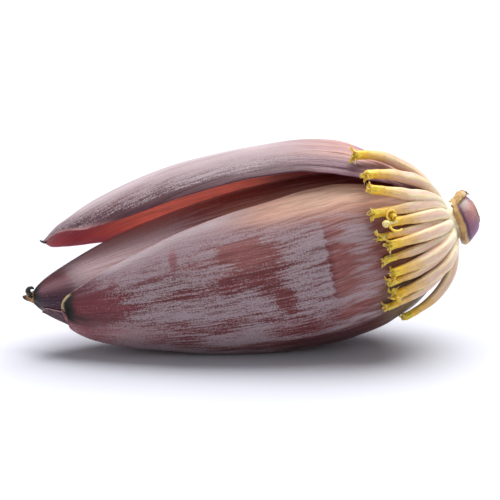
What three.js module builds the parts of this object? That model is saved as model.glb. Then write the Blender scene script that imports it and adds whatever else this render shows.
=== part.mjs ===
// A banana blossom lying on its belly: a bud wrapped in bracts, one of them lifting away,
// with a hand of florets combed over its shoulder from the stem.
// Millimetres. +X runs to the cut stem, -Y faces the viewer, +Z is up, and the belly rests on Z = 0.
import * as THREE from 'three';

// ---- Driving dimensions -------------------------------------------------------------------

const GAP = 0.4; // clearance between neighbouring layers and pieces
const BRACT_WALL = 2.2; // thickness of a bract along its rib
const LAYER = BRACT_WALL + GAP; // room that one bract takes on the bud
const EDGE_THINNING = 0.6; // share of the wall that is gone at a bract's side edges
const TIP_THINNING = 0.4; // share of the wall that is gone at a bract's tip
const BELLY_DROP = 1.0; // how far the bud sinks into its own flattened belly

// The centre line of the bud, from the neck (station 0) to the tip (station 1).
const NECK = new THREE.Vector3(126, 0, 76 - BELLY_DROP);
const SHOULDER_PULL = new THREE.Vector3(87.4, 0, 62 - BELLY_DROP);
const TIP_PULL = new THREE.Vector3(-59, 0, 38 - BELLY_DROP);
const TIP = new THREE.Vector3(-137, 0, 34.5 - BELLY_DROP);

// Radius of the closed bud round that line: [station, radius].
const BUD_RADIUS = [
  [-0.1, 9], [0, 10], [0.03, 15.5], [0.1, 28.5], [0.2, 42.3], [0.3, 48.7], [0.4, 50.2],
  [0.5, 49], [0.6, 45.2], [0.7, 38.6], [0.8, 29.6], [0.9, 17.4], [0.935, 12.4], [0.96, 8], [0.975, 4.2],
];
const BUD_END = 0.975; // station where the bud stops and its dried stub begins

// Sag of the belly between the shoulder and the middle: [station, distance], widest underneath.
const SAG = [
  [0.04, 0], [0.1, 3], [0.16, 5.4], [0.22, 6.4], [0.3, 6.2], [0.35, 5.3], [0.4, 3.6], [0.45, 1.8], [0.55, 0],
];
const SAG_SPREAD = 60; // degrees either side of the underneath

// Each bract runs from the shoulder to its own tip, between a first and a second edge given as
// [station, degrees round the bud]: 0 is on top, 90 faces the viewer, 180 is underneath.
const BRACT_START = 0.03;
const FRONT_BRACT = {
  tip: 0.91,
  first: [
    [0.03, 62], [0.09, 45], [0.16, 34], [0.21, 31.5], [0.26, 28], [0.33, 24.5], [0.38, 26], [0.47, 30],
    [0.57, 32.5], [0.71, 41.5], [0.82, 55], [0.86, 65], [0.89, 75], [0.903, 84], [0.91, 95],
  ],
  second: [
    [0.03, 116], [0.1, 130], [0.2, 136], [0.27, 145], [0.4, 152], [0.6, 153], [0.75, 152],
    [0.81, 150], [0.85, 146], [0.88, 137], [0.9, 120], [0.91, 99],
  ],
};
const UNDER_BRACT = {
  tip: 0.93,
  first: [
    [0.03, 128], [0.1, 124], [0.2, 126], [0.6, 132], [0.82, 134], [0.88, 142], [0.915, 162], [0.93, 194],
  ],
  second: [
    [0.03, 275], [0.1, 278], [0.3, 284], [0.6, 284], [0.82, 280], [0.88, 265], [0.915, 237], [0.93, 204],
  ],
};
const TOP_BRACT = {
  tip: 0.945,
  first: [
    [0.03, -78], [0.1, -84], [0.3, -92], [0.6, -95], [0.8, -95], [0.85, -93], [0.9, -88], [0.925, -78],
    [0.938, -45], [0.945, -17],
  ],
  second: [
    [0.03, 25], [0.1, 34], [0.18, 42], [0.26, 48], [0.3, 46], [0.35, 40.5], [0.42, 37], [0.52, 37.5],
    [0.6, 39.5], [0.69, 44], [0.79, 48], [0.84, 46.5], [0.89, 32], [0.92, 20], [0.937, 8], [0.945, -13],
  ],
};

// The top bract lifts away from the bud: [station, distance], leaning to the far side.
const LIFT = [
  [0, 0], [0.08, 0], [0.15, 4.5], [0.2, 9.5], [0.25, 13], [0.31, 16], [0.4, 18.5], [0.55, 21.5],
  [0.7, 24.5], [0.82, 25.5], [0.9, 24], [0.945, 20],
];
const LIFT_LEAN = 25; // degrees from straight up

// The front bract's lower corner swells away from the bud towards its tip.
const FRONT_SWELL = 3.5;

// The florets: ring of bases round the neck, and the two rows they lie in.
const FLORET_BASE_STATION = { front: -0.04, back: 0.034 };
const FLORET_RADIUS = { front: 3.4, back: 2.4, hanging: 2.9 };
const FLORET_BASE_RADIUS = { front: 1.8, back: 1.2, hanging: 1.7 };
const FRONT_ROW_RISE = 1.6; // the front row lies partly on the back row
const OVARY_SHARE = 0.8; // of a floret's length; the yellow perianth is the rest
const TOOTH_LENGTH = 3.2;
const TOOTH_COUNT = 5;
// Station and azimuth of each floret's tip and azimuth of its base; turn tells how early it swings
// from one to the other, and lifted ones lie on the top bract.
const FLORETS = [
  { tip: 0.3, azimuth: 33, base: -14, turn: 1.1, row: 'front', lifted: true },
  { tip: 0.28, azimuth: 46, base: 6, turn: 1.3, row: 'front', lifted: true },
  { tip: 0.284, azimuth: 55, base: 31, turn: 2, row: 'back', lifted: true },
  { tip: 0.276, azimuth: 57, base: 34, turn: 3, row: 'front' },
  { tip: 0.235, azimuth: 64.5, base: 56, turn: 3, row: 'front' },
  { tip: 0.268, azimuth: 72.4, base: 70, turn: 3, row: 'back' },
  { tip: 0.258, azimuth: 78.5, base: 80, turn: 3, row: 'front' },
  { tip: 0.269, azimuth: 87, base: 91, turn: 3, row: 'back' },
  { tip: 0.264, azimuth: 96, base: 103, turn: 3, row: 'front' },
  { tip: 0.267, azimuth: 103, base: 109, turn: 3, row: 'back' },
  { tip: 0.272, azimuth: 111.3, base: 128, turn: 3, row: 'front' },
  { tip: 0.282, azimuth: 124, base: 132, turn: 3, row: 'back' },
  { tip: 0.22, azimuth: -40, base: -38, turn: 3, row: 'front', lifted: true },
  { tip: 0.23, azimuth: -54, base: -50, turn: 3, row: 'back', lifted: true },
  { tip: 0.21, azimuth: -68, base: -64, turn: 3, row: 'front', lifted: true },
];
const STIGMA_FLORET = 5; // counted from 1; its pale stigma shows between the teeth
const STIGMA_RADIUS = 1.9;

// One floret hangs free below the shoulder: its centre line from the neck to the tip.
const HANGING_FLORET = [
  [133.5, -6.2, 66.7], [131.9, -11.4, 61.8], [129.8, -16.6, 53.8], [124.8, -21.2, 44],
  [115, -25.2, 34], [102.4, -28.4, 25.4], [93, -30.4, 19.8],
];

// Turned pieces on the stem axis: [distance outwards from the neck station, radius].
const PEDUNCLE_PROFILE = [
  [0.4, 0], [0.4, 8.5], [5.6, 9], [6.2, 12.8], [8.6, 13], [10.8, 11.2], [13.2, 9], [15.4, 7.4],
  [17.4, 5.8], [20, 5.6], [20, 0],
];
const COLLAR_PROFILE = [
  [8.6, 13.6], [7.9, 16], [9.2, 17.1], [11.5, 17.2], [14.8, 15.4], [17.5, 11.8], [19.2, 6.6],
  [17, 6.6], [15.4, 9], [13.4, 11.6], [11.2, 13.2],
];

// Dried remains at the bud's tip.
const STUB_RADIUS = 3.2;
const STUB_LENGTH = 6;
const STRAND_RADIUS = 0.7;
const STRAND_PATH = [[-135, -2.4, 37.2], [-136.4, -3, 39], [-134.6, -3.4, 41.4], [-131.8, -3.2, 42.6]];

// Facet counts.
const BRACT_ROWS = 24;
const BRACT_COLUMNS = 18;
const BUD_ROWS = 24;
const BUD_SIDES = 40;
const TURNED_SIDES = 24;
const FLORET_RINGS = 8;
const FLORET_SIDES = 8;

const COLOURS = {
  frontBract: 0x85656c, topBract: 0x9a7a80, underBract: 0x6b5a48, bud: 0x5a3440, stub: 0xb5784a,
  strand: 0x2b2420, peduncle: 0xd9cd9c, collar: 0x7c4a5c, ovary: 0xe3d3a6, perianth: 0xe8c62c,
  stigma: 0xefe2b4,
};

// ---- Curves and frames --------------------------------------------------------------------

/** Smooth curve through [x, y] knots that never overshoots them. */
function smooth(knots, x) {
  const last = knots.length - 1;
  const clamped = THREE.MathUtils.clamp(x, knots[0][0], knots[last][0]);
  const slope = (i) => (knots[i + 1][1] - knots[i][1]) / (knots[i + 1][0] - knots[i][0]);
  const tangent = (i) => {
    if (i === 0) return slope(0);
    if (i === last) return slope(last - 1);
    const before = slope(i - 1);
    const after = slope(i);
    return before * after <= 0 ? 0 : (2 * before * after) / (before + after);
  };
  let i = 0;
  while (i < last - 1 && clamped >= knots[i + 1][0]) i += 1;
  const width = knots[i + 1][0] - knots[i][0];
  const s = (clamped - knots[i][0]) / width;
  return (
    (1 + 2 * s) * (1 - s) ** 2 * knots[i][1] +
    s * (1 - s) ** 2 * width * tangent(i) +
    s * s * (3 - 2 * s) * knots[i + 1][1] +
    s * s * (s - 1) * width * tangent(i + 1)
  );
}

const centreLine = new THREE.CubicBezierCurve3(NECK, SHOULDER_PULL, TIP_PULL, TIP);
const stemDirection = new THREE.Vector3().subVectors(NECK, SHOULDER_PULL).normalize();
const stemSpeed = 3 * NECK.distanceTo(SHOULDER_PULL); // millimetres per station at the neck

/** Point of the centre line; before the neck it goes straight on along the stem. */
function centreAt(station) {
  if (station >= 0) return centreLine.getPoint(station);
  return NECK.clone().addScaledVector(stemDirection, -station * stemSpeed);
}

/** Unit vector along the centre line, towards the tip. */
function directionAt(station) {
  const step = 1e-4;
  return centreAt(station + step).sub(centreAt(station - step)).normalize();
}

/** Point at an azimuth and a radius round the centre line. */
function around(station, azimuth, radius) {
  const along = directionAt(station);
  const up = new THREE.Vector3(0, 0, 1).addScaledVector(along, -along.z).normalize();
  const side = new THREE.Vector3().crossVectors(up, along);
  const angle = THREE.MathUtils.degToRad(azimuth);
  return centreAt(station)
    .addScaledVector(up, radius * Math.cos(angle))
    .addScaledVector(side, radius * Math.sin(angle));
}

/** Radius of the bud at an azimuth, with the sag of its belly. */
function budRadius(station, azimuth) {
  const offBottom = Math.abs(((((azimuth - 180) % 360) + 540) % 360) - 180);
  const window = offBottom < SAG_SPREAD ? Math.cos(((offBottom / SAG_SPREAD) * Math.PI) / 2) ** 2 : 0;
  return smooth(BUD_RADIUS, station) + window * smooth(SAG, station);
}

/** How far and which way the top bract has moved off the bud at a station. */
function liftAt(station) {
  const lean = THREE.MathUtils.degToRad(LIFT_LEAN);
  return new THREE.Vector3(0, Math.sin(lean), Math.cos(lean)).multiplyScalar(smooth(LIFT, station));
}

// ---- Closed meshes ------------------------------------------------------------------------

/** Collects the triangles of one closed solid. */
class Solid {
  constructor() {
    this.points = [];
    this.faces = [];
  }

  addPoint(point) {
    this.points.push(point.x, point.y, point.z);
    return this.points.length / 3 - 1;
  }

  /** Quads between two equally long lists of point numbers. */
  addStrip(first, second, closed) {
    const count = closed ? first.length : first.length - 1;
    for (let i = 0; i < count; i += 1) {
      const next = (i + 1) % first.length;
      this.faces.push(first[i], first[next], second[next]);
      this.faces.push(first[i], second[next], second[i]);
    }
  }

  /** Fan from a ring to its own apex. */
  addFan(ring, apex) {
    const centre = this.addPoint(apex);
    ring.forEach((corner, i) => this.faces.push(centre, corner, ring[(i + 1) % ring.length]));
  }

  geometry() {
    const geometry = new THREE.BufferGeometry();
    geometry.setAttribute('position', new THREE.Float32BufferAttribute(this.points, 3));
    geometry.setIndex(this.faces);
    geometry.computeVertexNormals();
    return geometry;
  }
}

function average(points) {
  return points.reduce((sum, point) => sum.add(point), new THREE.Vector3()).divideScalar(points.length);
}

/** Solid skinned over rings of points, closed by a fan at either end. */
function loft(rings, firstApex = average(rings[0]), lastApex = average(rings.at(-1))) {
  const solid = new Solid();
  const rows = rings.map((ring) => ring.map((point) => solid.addPoint(point)));
  for (let i = 1; i < rows.length; i += 1) solid.addStrip(rows[i - 1], rows[i], true);
  solid.addFan([...rows[0]].reverse(), firstApex);
  solid.addFan(rows.at(-1), lastApex);
  return solid.geometry();
}

/** Shell between an outer and an inner grid of points, closed along all four borders. */
function shell(outer, inner) {
  const solid = new Solid();
  const outerRows = outer.map((row) => row.map((point) => solid.addPoint(point)));
  const innerRows = inner.map((row) => row.map((point) => solid.addPoint(point)));
  for (let i = 1; i < outerRows.length; i += 1) {
    solid.addStrip(outerRows[i], outerRows[i - 1], false);
    solid.addStrip(innerRows[i - 1], innerRows[i], false);
  }
  const column = (rows, index) => rows.map((row) => row.at(index));
  solid.addStrip(outerRows[0], innerRows[0], false);
  solid.addStrip(innerRows.at(-1), outerRows.at(-1), false);
  solid.addStrip(column(innerRows, 0), column(outerRows, 0), false);
  solid.addStrip(column(outerRows, -1), column(innerRows, -1), false);
  return solid.geometry();
}

/** Ring of points of one radius, square to a path. */
function ringAround(centre, along, radius, sides, radiusAt = () => radius) {
  const up = new THREE.Vector3(0, 0, 1).addScaledVector(along, -along.z);
  if (up.length() < 0.05) up.set(1, 0, 0).addScaledVector(along, -along.x);
  up.normalize();
  const side = new THREE.Vector3().crossVectors(along, up);
  return Array.from({ length: sides }, (_, i) => {
    const angle = (2 * Math.PI * i) / sides;
    return centre
      .clone()
      .addScaledVector(up, radiusAt(i) * Math.cos(angle))
      .addScaledVector(side, radiusAt(i) * Math.sin(angle));
  });
}

function addPiece(group, name, geometry, colour, roughness = 0.6) {
  const material = new THREE.MeshStandardMaterial({ color: colour, roughness, metalness: 0 });
  const mesh = new THREE.Mesh(geometry, material);
  mesh.name = name;
  group.add(mesh);
}

// ---- Bud and bracts -----------------------------------------------------------------------

/** The closed bud, flattened where the under bract carries it. */
function budGeometry() {
  const floor = LAYER + 0.2;
  const rings = [];
  for (let row = 0; row <= BUD_ROWS; row += 1) {
    const station = BUD_END * Math.sin((row / BUD_ROWS) * (Math.PI / 2));
    const ring = [];
    for (let side = 0; side < BUD_SIDES; side += 1) {
      const azimuth = (-360 * side) / BUD_SIDES;
      const point = around(station, azimuth, budRadius(station, azimuth));
      point.z = Math.max(point.z, floor);
      ring.push(point);
    }
    rings.push(ring);
  }
  return loft(rings);
}

/** The front bract starts as the first layer at its first edge and ends over the under bract. */
function frontLayers(across) {
  return 1 + 0.6 * (across + 1);
}

/** Thickness of a bract on its rib at a station. */
function ribWall(station) {
  return BRACT_WALL * (1 - TIP_THINNING * THREE.MathUtils.smoothstep(station, 0.6, 0.9));
}

/**
 * A bract between its two edges.
 * standOff(across, station) is the distance of its outer face from the bud; across runs -1..1.
 */
function bractGeometry(bract, standOff, move) {
  const outer = [];
  const inner = [];
  for (let row = 0; row <= BRACT_ROWS; row += 1) {
    const station = BRACT_START + (bract.tip - BRACT_START) * Math.sin((row / BRACT_ROWS) * (Math.PI / 2));
    const from = smooth(bract.first, station);
    const to = smooth(bract.second, station);
    const outerRow = [];
    const innerRow = [];
    for (let column = 0; column <= BRACT_COLUMNS; column += 1) {
      const across = (2 * column) / BRACT_COLUMNS - 1;
      const azimuth = (from + to) / 2 + (across * (to - from)) / 2;
      const radius = budRadius(station, azimuth) + standOff(across, station);
      const wall = ribWall(station) * (1 - EDGE_THINNING * Math.abs(across) ** 3);
      const outside = around(station, azimuth, radius).add(move(station));
      const inside = around(station, azimuth, radius - wall).add(move(station));
      outside.z = Math.max(outside.z, 0);
      inside.z = Math.max(inside.z, BRACT_WALL);
      outerRow.push(outside);
      innerRow.push(inside);
    }
    outer.push(outerRow);
    inner.push(innerRow);
  }
  return shell(outer, inner);
}

function addBracts(group) {
  const stay = () => new THREE.Vector3();
  const swell = (across, station) =>
    FRONT_SWELL *
    THREE.MathUtils.smoothstep(station, 0.68, 0.88) *
    THREE.MathUtils.smoothstep(across, -0.2, 1);
  const underStandOff = (across, station) => 2.2 * GAP + ribWall(station);
  const frontStandOff = (across, station) =>
    (GAP + ribWall(station)) * frontLayers(across) + swell(across, station);
  const topStandOff = (across, station) => 2 * (GAP + ribWall(station));
  addPiece(group, 'bud_heart', budGeometry(), COLOURS.bud, 0.5);
  addPiece(group, 'bract_under', bractGeometry(UNDER_BRACT, underStandOff, stay), COLOURS.underBract);
  addPiece(group, 'bract_front', bractGeometry(FRONT_BRACT, frontStandOff, stay), COLOURS.frontBract);
  addPiece(group, 'bract_top', bractGeometry(TOP_BRACT, topStandOff, liftAt), COLOURS.topBract);
}

// ---- Florets ------------------------------------------------------------------------------

/** Height of the bracts that lie under a floret. */
function coverAt(station, azimuth, lifted) {
  if (lifted) return 2 * LAYER;
  const first = smooth(FRONT_BRACT.first, station);
  const second = smooth(FRONT_BRACT.second, station);
  const across = THREE.MathUtils.mapLinear(azimuth, first, second, -1, 1);
  return LAYER * frontLayers(THREE.MathUtils.clamp(across, -1, 1));
}

/** Point of the surface that a floret lies on. */
function bedPoint(station, azimuth, lifted) {
  const cover = coverAt(station, azimuth, lifted) * THREE.MathUtils.smoothstep(station, -0.03, 0.03);
  const point = around(station, azimuth, budRadius(station, azimuth) + cover);
  return lifted ? point.add(liftAt(station)) : point;
}

function bedNormal(station, azimuth, lifted) {
  const ahead = bedPoint(station + 0.005, azimuth, lifted);
  const lengthwise = ahead.sub(bedPoint(station - 0.005, azimuth, lifted));
  const across = bedPoint(station, azimuth + 1, lifted).sub(bedPoint(station, azimuth - 1, lifted));
  return lengthwise.cross(across).normalize();
}

function floretRadius(row, share) {
  const swelling = THREE.MathUtils.smoothstep(share, 0, 0.62);
  return THREE.MathUtils.lerp(FLORET_BASE_RADIUS[row], FLORET_RADIUS[row], swelling);
}

/** Centre line of a floret that lies over the shoulder. */
function floretPath({ tip, azimuth, base, turn, row, lifted = false }) {
  const start = FLORET_BASE_STATION[row];
  const points = [];
  for (let ring = 0; ring <= 2 * FLORET_RINGS; ring += 1) {
    const share = ring / (2 * FLORET_RINGS);
    const station = start + (tip - start) * share;
    const turned = azimuth + (base - azimuth) * (1 - share) ** turn;
    const rise = row === 'front' ? FRONT_ROW_RISE * THREE.MathUtils.smoothstep(share, 0.05, 0.45) : 0;
    const height = floretRadius(row, share) + GAP + rise;
    const bed = bedPoint(station, turned, lifted);
    points.push(bed.addScaledVector(bedNormal(station, turned, lifted), height));
  }
  return new THREE.CatmullRomCurve3(points);
}

/** The ovary: a slender curved spindle. */
function ovaryGeometry(path, row) {
  const rings = [];
  for (let i = 0; i <= FLORET_RINGS; i += 1) {
    const share = (OVARY_SHARE * i) / FLORET_RINGS;
    const radius = floretRadius(row, share);
    rings.push(ringAround(path.getPoint(share), path.getTangent(share), radius, FLORET_SIDES));
  }
  return loft(rings);
}

/** The perianth: a flaring cup with five teeth at its mouth. */
function perianthGeometry(path, row) {
  const sides = 2 * TOOTH_COUNT;
  const size = FLORET_RADIUS[row];
  const first = OVARY_SHARE + GAP / path.getLength();
  const stages = [[0, 0.92], [0.3, 0.98], [0.7, 1.05]];
  const rings = stages.map(([step, swell]) => {
    const share = THREE.MathUtils.lerp(first, 1, step);
    return ringAround(path.getPoint(share), path.getTangent(share), size * swell, sides);
  });
  const along = path.getTangent(1);
  const mouth = ringAround(path.getPoint(1), along, size, sides, (i) => size * (i % 2 ? 0.95 : 1.3));
  mouth.forEach((point, i) => point.addScaledVector(along, i % 2 ? -TOOTH_LENGTH : 0));
  rings.push(mouth);
  return loft(rings, undefined, path.getPoint(0.9));
}

function addFloret(group, number, path, row) {
  const label = String(number).padStart(2, '0');
  addPiece(group, `floret_${label}`, ovaryGeometry(path, row), COLOURS.ovary, 0.5);
  addPiece(group, `perianth_${label}`, perianthGeometry(path, row), COLOURS.perianth, 0.55);
}

function addFlorets(group) {
  FLORETS.forEach((floret, i) => addFloret(group, i + 1, floretPath(floret), floret.row));
  const hanging = new THREE.CatmullRomCurve3(HANGING_FLORET.map((point) => new THREE.Vector3(...point)));
  addFloret(group, FLORETS.length + 1, hanging, 'hanging');
  const path = floretPath(FLORETS[STIGMA_FLORET - 1]);
  const stigma = new THREE.SphereGeometry(STIGMA_RADIUS, 12, 8);
  const centre = path.getPoint(1).addScaledVector(path.getTangent(1), STIGMA_RADIUS);
  stigma.translate(centre.x, centre.y, centre.z);
  addPiece(group, `stigma_${String(STIGMA_FLORET).padStart(2, '0')}`, stigma, COLOURS.stigma, 0.4);
}

// ---- Stem end and tip ---------------------------------------------------------------------

/** A profile of [distance along the stem, radius] turned round the stem axis. */
function turnedGeometry(profile, closed) {
  const points = profile.map(([along, radius]) => new THREE.Vector2(radius, along));
  if (closed) points.push(points[0].clone());
  const geometry = new THREE.LatheGeometry(points, TURNED_SIDES);
  const turnUpright = new THREE.Quaternion().setFromUnitVectors(new THREE.Vector3(0, 1, 0), stemDirection);
  geometry.applyQuaternion(turnUpright);
  geometry.translate(NECK.x, NECK.y, NECK.z);
  return geometry;
}

function addStemEnd(group) {
  addPiece(group, 'peduncle', turnedGeometry(PEDUNCLE_PROFILE, false), COLOURS.peduncle, 0.5);
  addPiece(group, 'scar_collar', turnedGeometry(COLLAR_PROFILE, true), COLOURS.collar, 0.5);
}

/** The dried stub on the bud's tip, and the shrivelled strand that curls over it. */
function addTip(group) {
  const along = directionAt(BUD_END);
  const start = centreAt(BUD_END).addScaledVector(along, GAP);
  const stages = [[0, 0.9], [0.2, 1], [0.55, 0.66], [1, 0.2]];
  const rings = stages.map(([step, width]) => {
    const centre = start.clone().addScaledVector(along, STUB_LENGTH * step);
    return ringAround(centre, along, STUB_RADIUS * width, FLORET_SIDES);
  });
  addPiece(group, 'tip_stub', loft(rings), COLOURS.stub, 0.8);
  const section = new THREE.Shape().absarc(0, 0, STRAND_RADIUS, 0, 2 * Math.PI);
  const route = new THREE.CatmullRomCurve3(STRAND_PATH.map((point) => new THREE.Vector3(...point)));
  const strand = new THREE.ExtrudeGeometry(section, { steps: 10, curveSegments: 4, extrudePath: route });
  addPiece(group, 'tip_strand', strand, COLOURS.strand, 0.9);
}

// ---- The whole blossom --------------------------------------------------------------------

const group = new THREE.Group();
group.name = 'banana_blossom';
addBracts(group);
addStemEnd(group);
addTip(group);
addFlorets(group);

export default group;
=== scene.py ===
"""A banana blossom lying on its belly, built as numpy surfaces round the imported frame.

The bud is wrapped in thin bracts. One of them lifts away over its whole length, and a hand of
florets is combed over the shoulder from the neck, where the torn collar of an older bract is left.
Shapes are worked out in millimetres and written to the meshes in metres. +X runs to the cut stem,
-Y faces the viewer, +Z is up and the belly rests on Z = 0.
"""

import logging
import math
from dataclasses import dataclass, field
from enum import Enum
from typing import Sequence

import bpy
import numpy as np
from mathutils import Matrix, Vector


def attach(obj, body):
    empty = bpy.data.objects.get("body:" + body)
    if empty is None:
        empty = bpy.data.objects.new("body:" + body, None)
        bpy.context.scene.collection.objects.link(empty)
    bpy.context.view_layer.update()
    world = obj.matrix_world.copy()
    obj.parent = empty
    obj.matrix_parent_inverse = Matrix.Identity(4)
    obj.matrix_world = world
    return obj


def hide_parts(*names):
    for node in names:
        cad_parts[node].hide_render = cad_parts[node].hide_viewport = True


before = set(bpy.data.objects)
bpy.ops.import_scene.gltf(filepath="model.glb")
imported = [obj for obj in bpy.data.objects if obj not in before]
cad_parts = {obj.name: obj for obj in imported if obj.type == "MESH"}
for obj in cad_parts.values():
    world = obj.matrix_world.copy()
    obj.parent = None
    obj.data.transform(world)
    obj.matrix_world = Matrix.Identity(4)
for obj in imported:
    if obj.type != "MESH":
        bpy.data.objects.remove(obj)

Array = np.ndarray
Knots = tuple[tuple[float, float], ...]
Socket = bpy.types.NodeSocket

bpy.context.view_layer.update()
BODY = "root"
MM = 0.001  # metres in a millimetre
BARE = -0.45  # least bloom: below zero, no streak of wax shows
GRAIN_HALF = 58.0  # half a bract's width that its grain is scaled to, in millimetres
GRAIN_LENGTH = 0.29  # length of the bud in the grain's terms, in metres

log = logging.getLogger("banana_blossom")


# ---- Numbers and curves ---------------------------------------------------------------------


def smoothstep(x: Array, low: float, high: float) -> Array:
    """Zero below low, one above high, and 3t^2 - 2t^3 between them."""
    t = np.clip((np.asarray(x, float) - low) / (high - low), 0.0, 1.0)
    return t * t * (3.0 - 2.0 * t)


def mix(a: Array, b: Array, share: Array) -> Array:
    """Straight blend from a to b."""
    return a + (b - a) * share


def fall(x: Array, low: float, high: float) -> Array:
    """One below low and zero above high: smoothstep the other way up."""
    return 1 - smoothstep(x, low, high)


def plateau(x: Array, foot: float, top: float, brink: float, end: float) -> Array:
    """Climbs from zero to one between foot and top, and falls back between brink and end."""
    return smoothstep(x, foot, top) * fall(x, brink, end)


def bump_at(x: Array, centre: float, width: float) -> Array:
    """Bell curve exp(-((x - centre) / width)^2)."""
    return np.exp(-(((x - centre) / width) ** 2))


def unit(vectors: Array) -> Array:
    """Vectors of length one along the last axis."""
    return vectors / np.maximum(np.linalg.norm(vectors, axis=-1, keepdims=True), 1e-12)


def circle(count: int) -> Array:
    """Angles evenly spread round a circle, in radians."""
    return 2 * math.pi * np.arange(count) / count


def spokes(up: Array, side: Array, angle: Array) -> Array:
    """Unit vectors round a section: up cos(angle) + side sin(angle)."""
    return up * np.cos(angle)[..., None] + side * np.sin(angle)[..., None]


def round_grain(radius: Array, run: Array, angle: Array) -> Array:
    """Grain of a round piece in metres: across its section, and the run along it."""
    parts = np.broadcast_arrays(radius * np.cos(angle), run, radius * np.sin(angle))
    return np.stack(parts, -1) * MM


def linear(code: str) -> Array:
    """Scene-linear red, green and blue of a #rrggbb colour, by the sRGB transfer curve."""
    channels = np.array([int(code[i : i + 2], 16) for i in (1, 3, 5)]) / 255.0
    return np.where(channels <= 0.04045, channels / 12.92, ((channels + 0.055) / 1.055) ** 2.4)


def through(knots: Knots, x: Array) -> Array:
    """Smooth curve through (x, y) knots that never overshoots them.

    Between two knots it is the cubic Hermite curve, whose slope at a knot is the harmonic mean
    of the slopes on either side, or zero where they have opposite signs.

    Args:
        knots: the knots, in rising order of x.
        x: where to read the curve; it is held at the end knots.

    Returns:
        The curve's height at each x.
    """
    xs, ys = np.array(knots, float).T
    width = np.diff(xs)
    slope = np.diff(ys) / width
    before, after = slope[:-1], slope[1:]
    same = before * after > 0
    inner = np.where(same, 2 * before * after / np.where(same, before + after, 1.0), 0.0)
    tangent = np.concatenate([slope[:1], inner, slope[-1:]])
    held = np.clip(np.asarray(x, float), xs[0], xs[-1])
    i = np.clip(np.searchsorted(xs, held, side="right") - 1, 0, len(width) - 1)
    s = (held - xs[i]) / width[i]
    return (
        (1 + 2 * s) * (1 - s) ** 2 * ys[i]
        + s * (1 - s) ** 2 * width[i] * tangent[i]
        + s * s * (3 - 2 * s) * ys[i + 1]
        + s * s * (s - 1) * width[i] * tangent[i + 1]
    )


def chain(points: Sequence[Sequence[float]], count: int) -> Array:
    """Catmull-Rom curve through a few points.

    Args:
        points: the points that it passes through.
        count: how many points to return, evenly spread over the knots.

    Returns:
        Points of the curve, one a row.
    """
    p = np.array(points, float)
    p = np.vstack([2 * p[0] - p[1], p, 2 * p[-1] - p[-2]])
    t = np.linspace(0, len(points) - 1, count)
    i = np.minimum(t.astype(int), len(points) - 2)
    s = (t - i)[:, None]
    a, b, c, d = p[i], p[i + 1], p[i + 2], p[i + 3]
    return 0.5 * (2 * b + (c - a) * s + (2 * a - 5 * b + 4 * c - d) * s**2 + (3 * b - a - 3 * c + d) * s**3)


@dataclass(frozen=True)
class Ripples:
    """Smooth seeded relief: a sum of sine waves that drift slowly along their length.

    Attributes:
        seed: start of the random draw.
        low: lowest frequency across, in cycles for one unit of u.
        high: highest frequency across.
        count: how many waves.
        drift: how far a wave wanders sideways, in radians.
        along: how fast it wanders, in cycles for one unit of v.
        fade: power with which a wave's height falls as its frequency rises.
    """

    seed: int
    low: float
    high: float
    count: int = 14
    drift: float = 1.6
    along: float = 1.2
    fade: float = 0.7

    def __call__(self, u: Array, v: Array) -> Array:
        """Height between about -1 and 1 at u across and v along: sum of a sin(2 pi f u + p + drift)."""
        rng = np.random.default_rng(self.seed)
        frequency = np.geomspace(self.low, self.high, self.count) * rng.uniform(0.9, 1.1, self.count)
        height = (self.low / frequency) ** self.fade
        height /= math.sqrt(0.5 * float(np.sum(height**2))) * 2.0
        phase = rng.uniform(0, 2 * math.pi, self.count)
        wander = rng.uniform(0, 2 * math.pi, self.count)
        total = np.zeros(np.broadcast(u, v).shape)
        for f, a, p, w in zip(frequency, height, phase, wander):
            sway = self.drift * np.sin(2 * math.pi * self.along * v + w)
            total += a * np.sin(2 * math.pi * f * u + p + sway)
        return total


# ---- Meshes -----------------------------------------------------------------------------------


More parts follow.
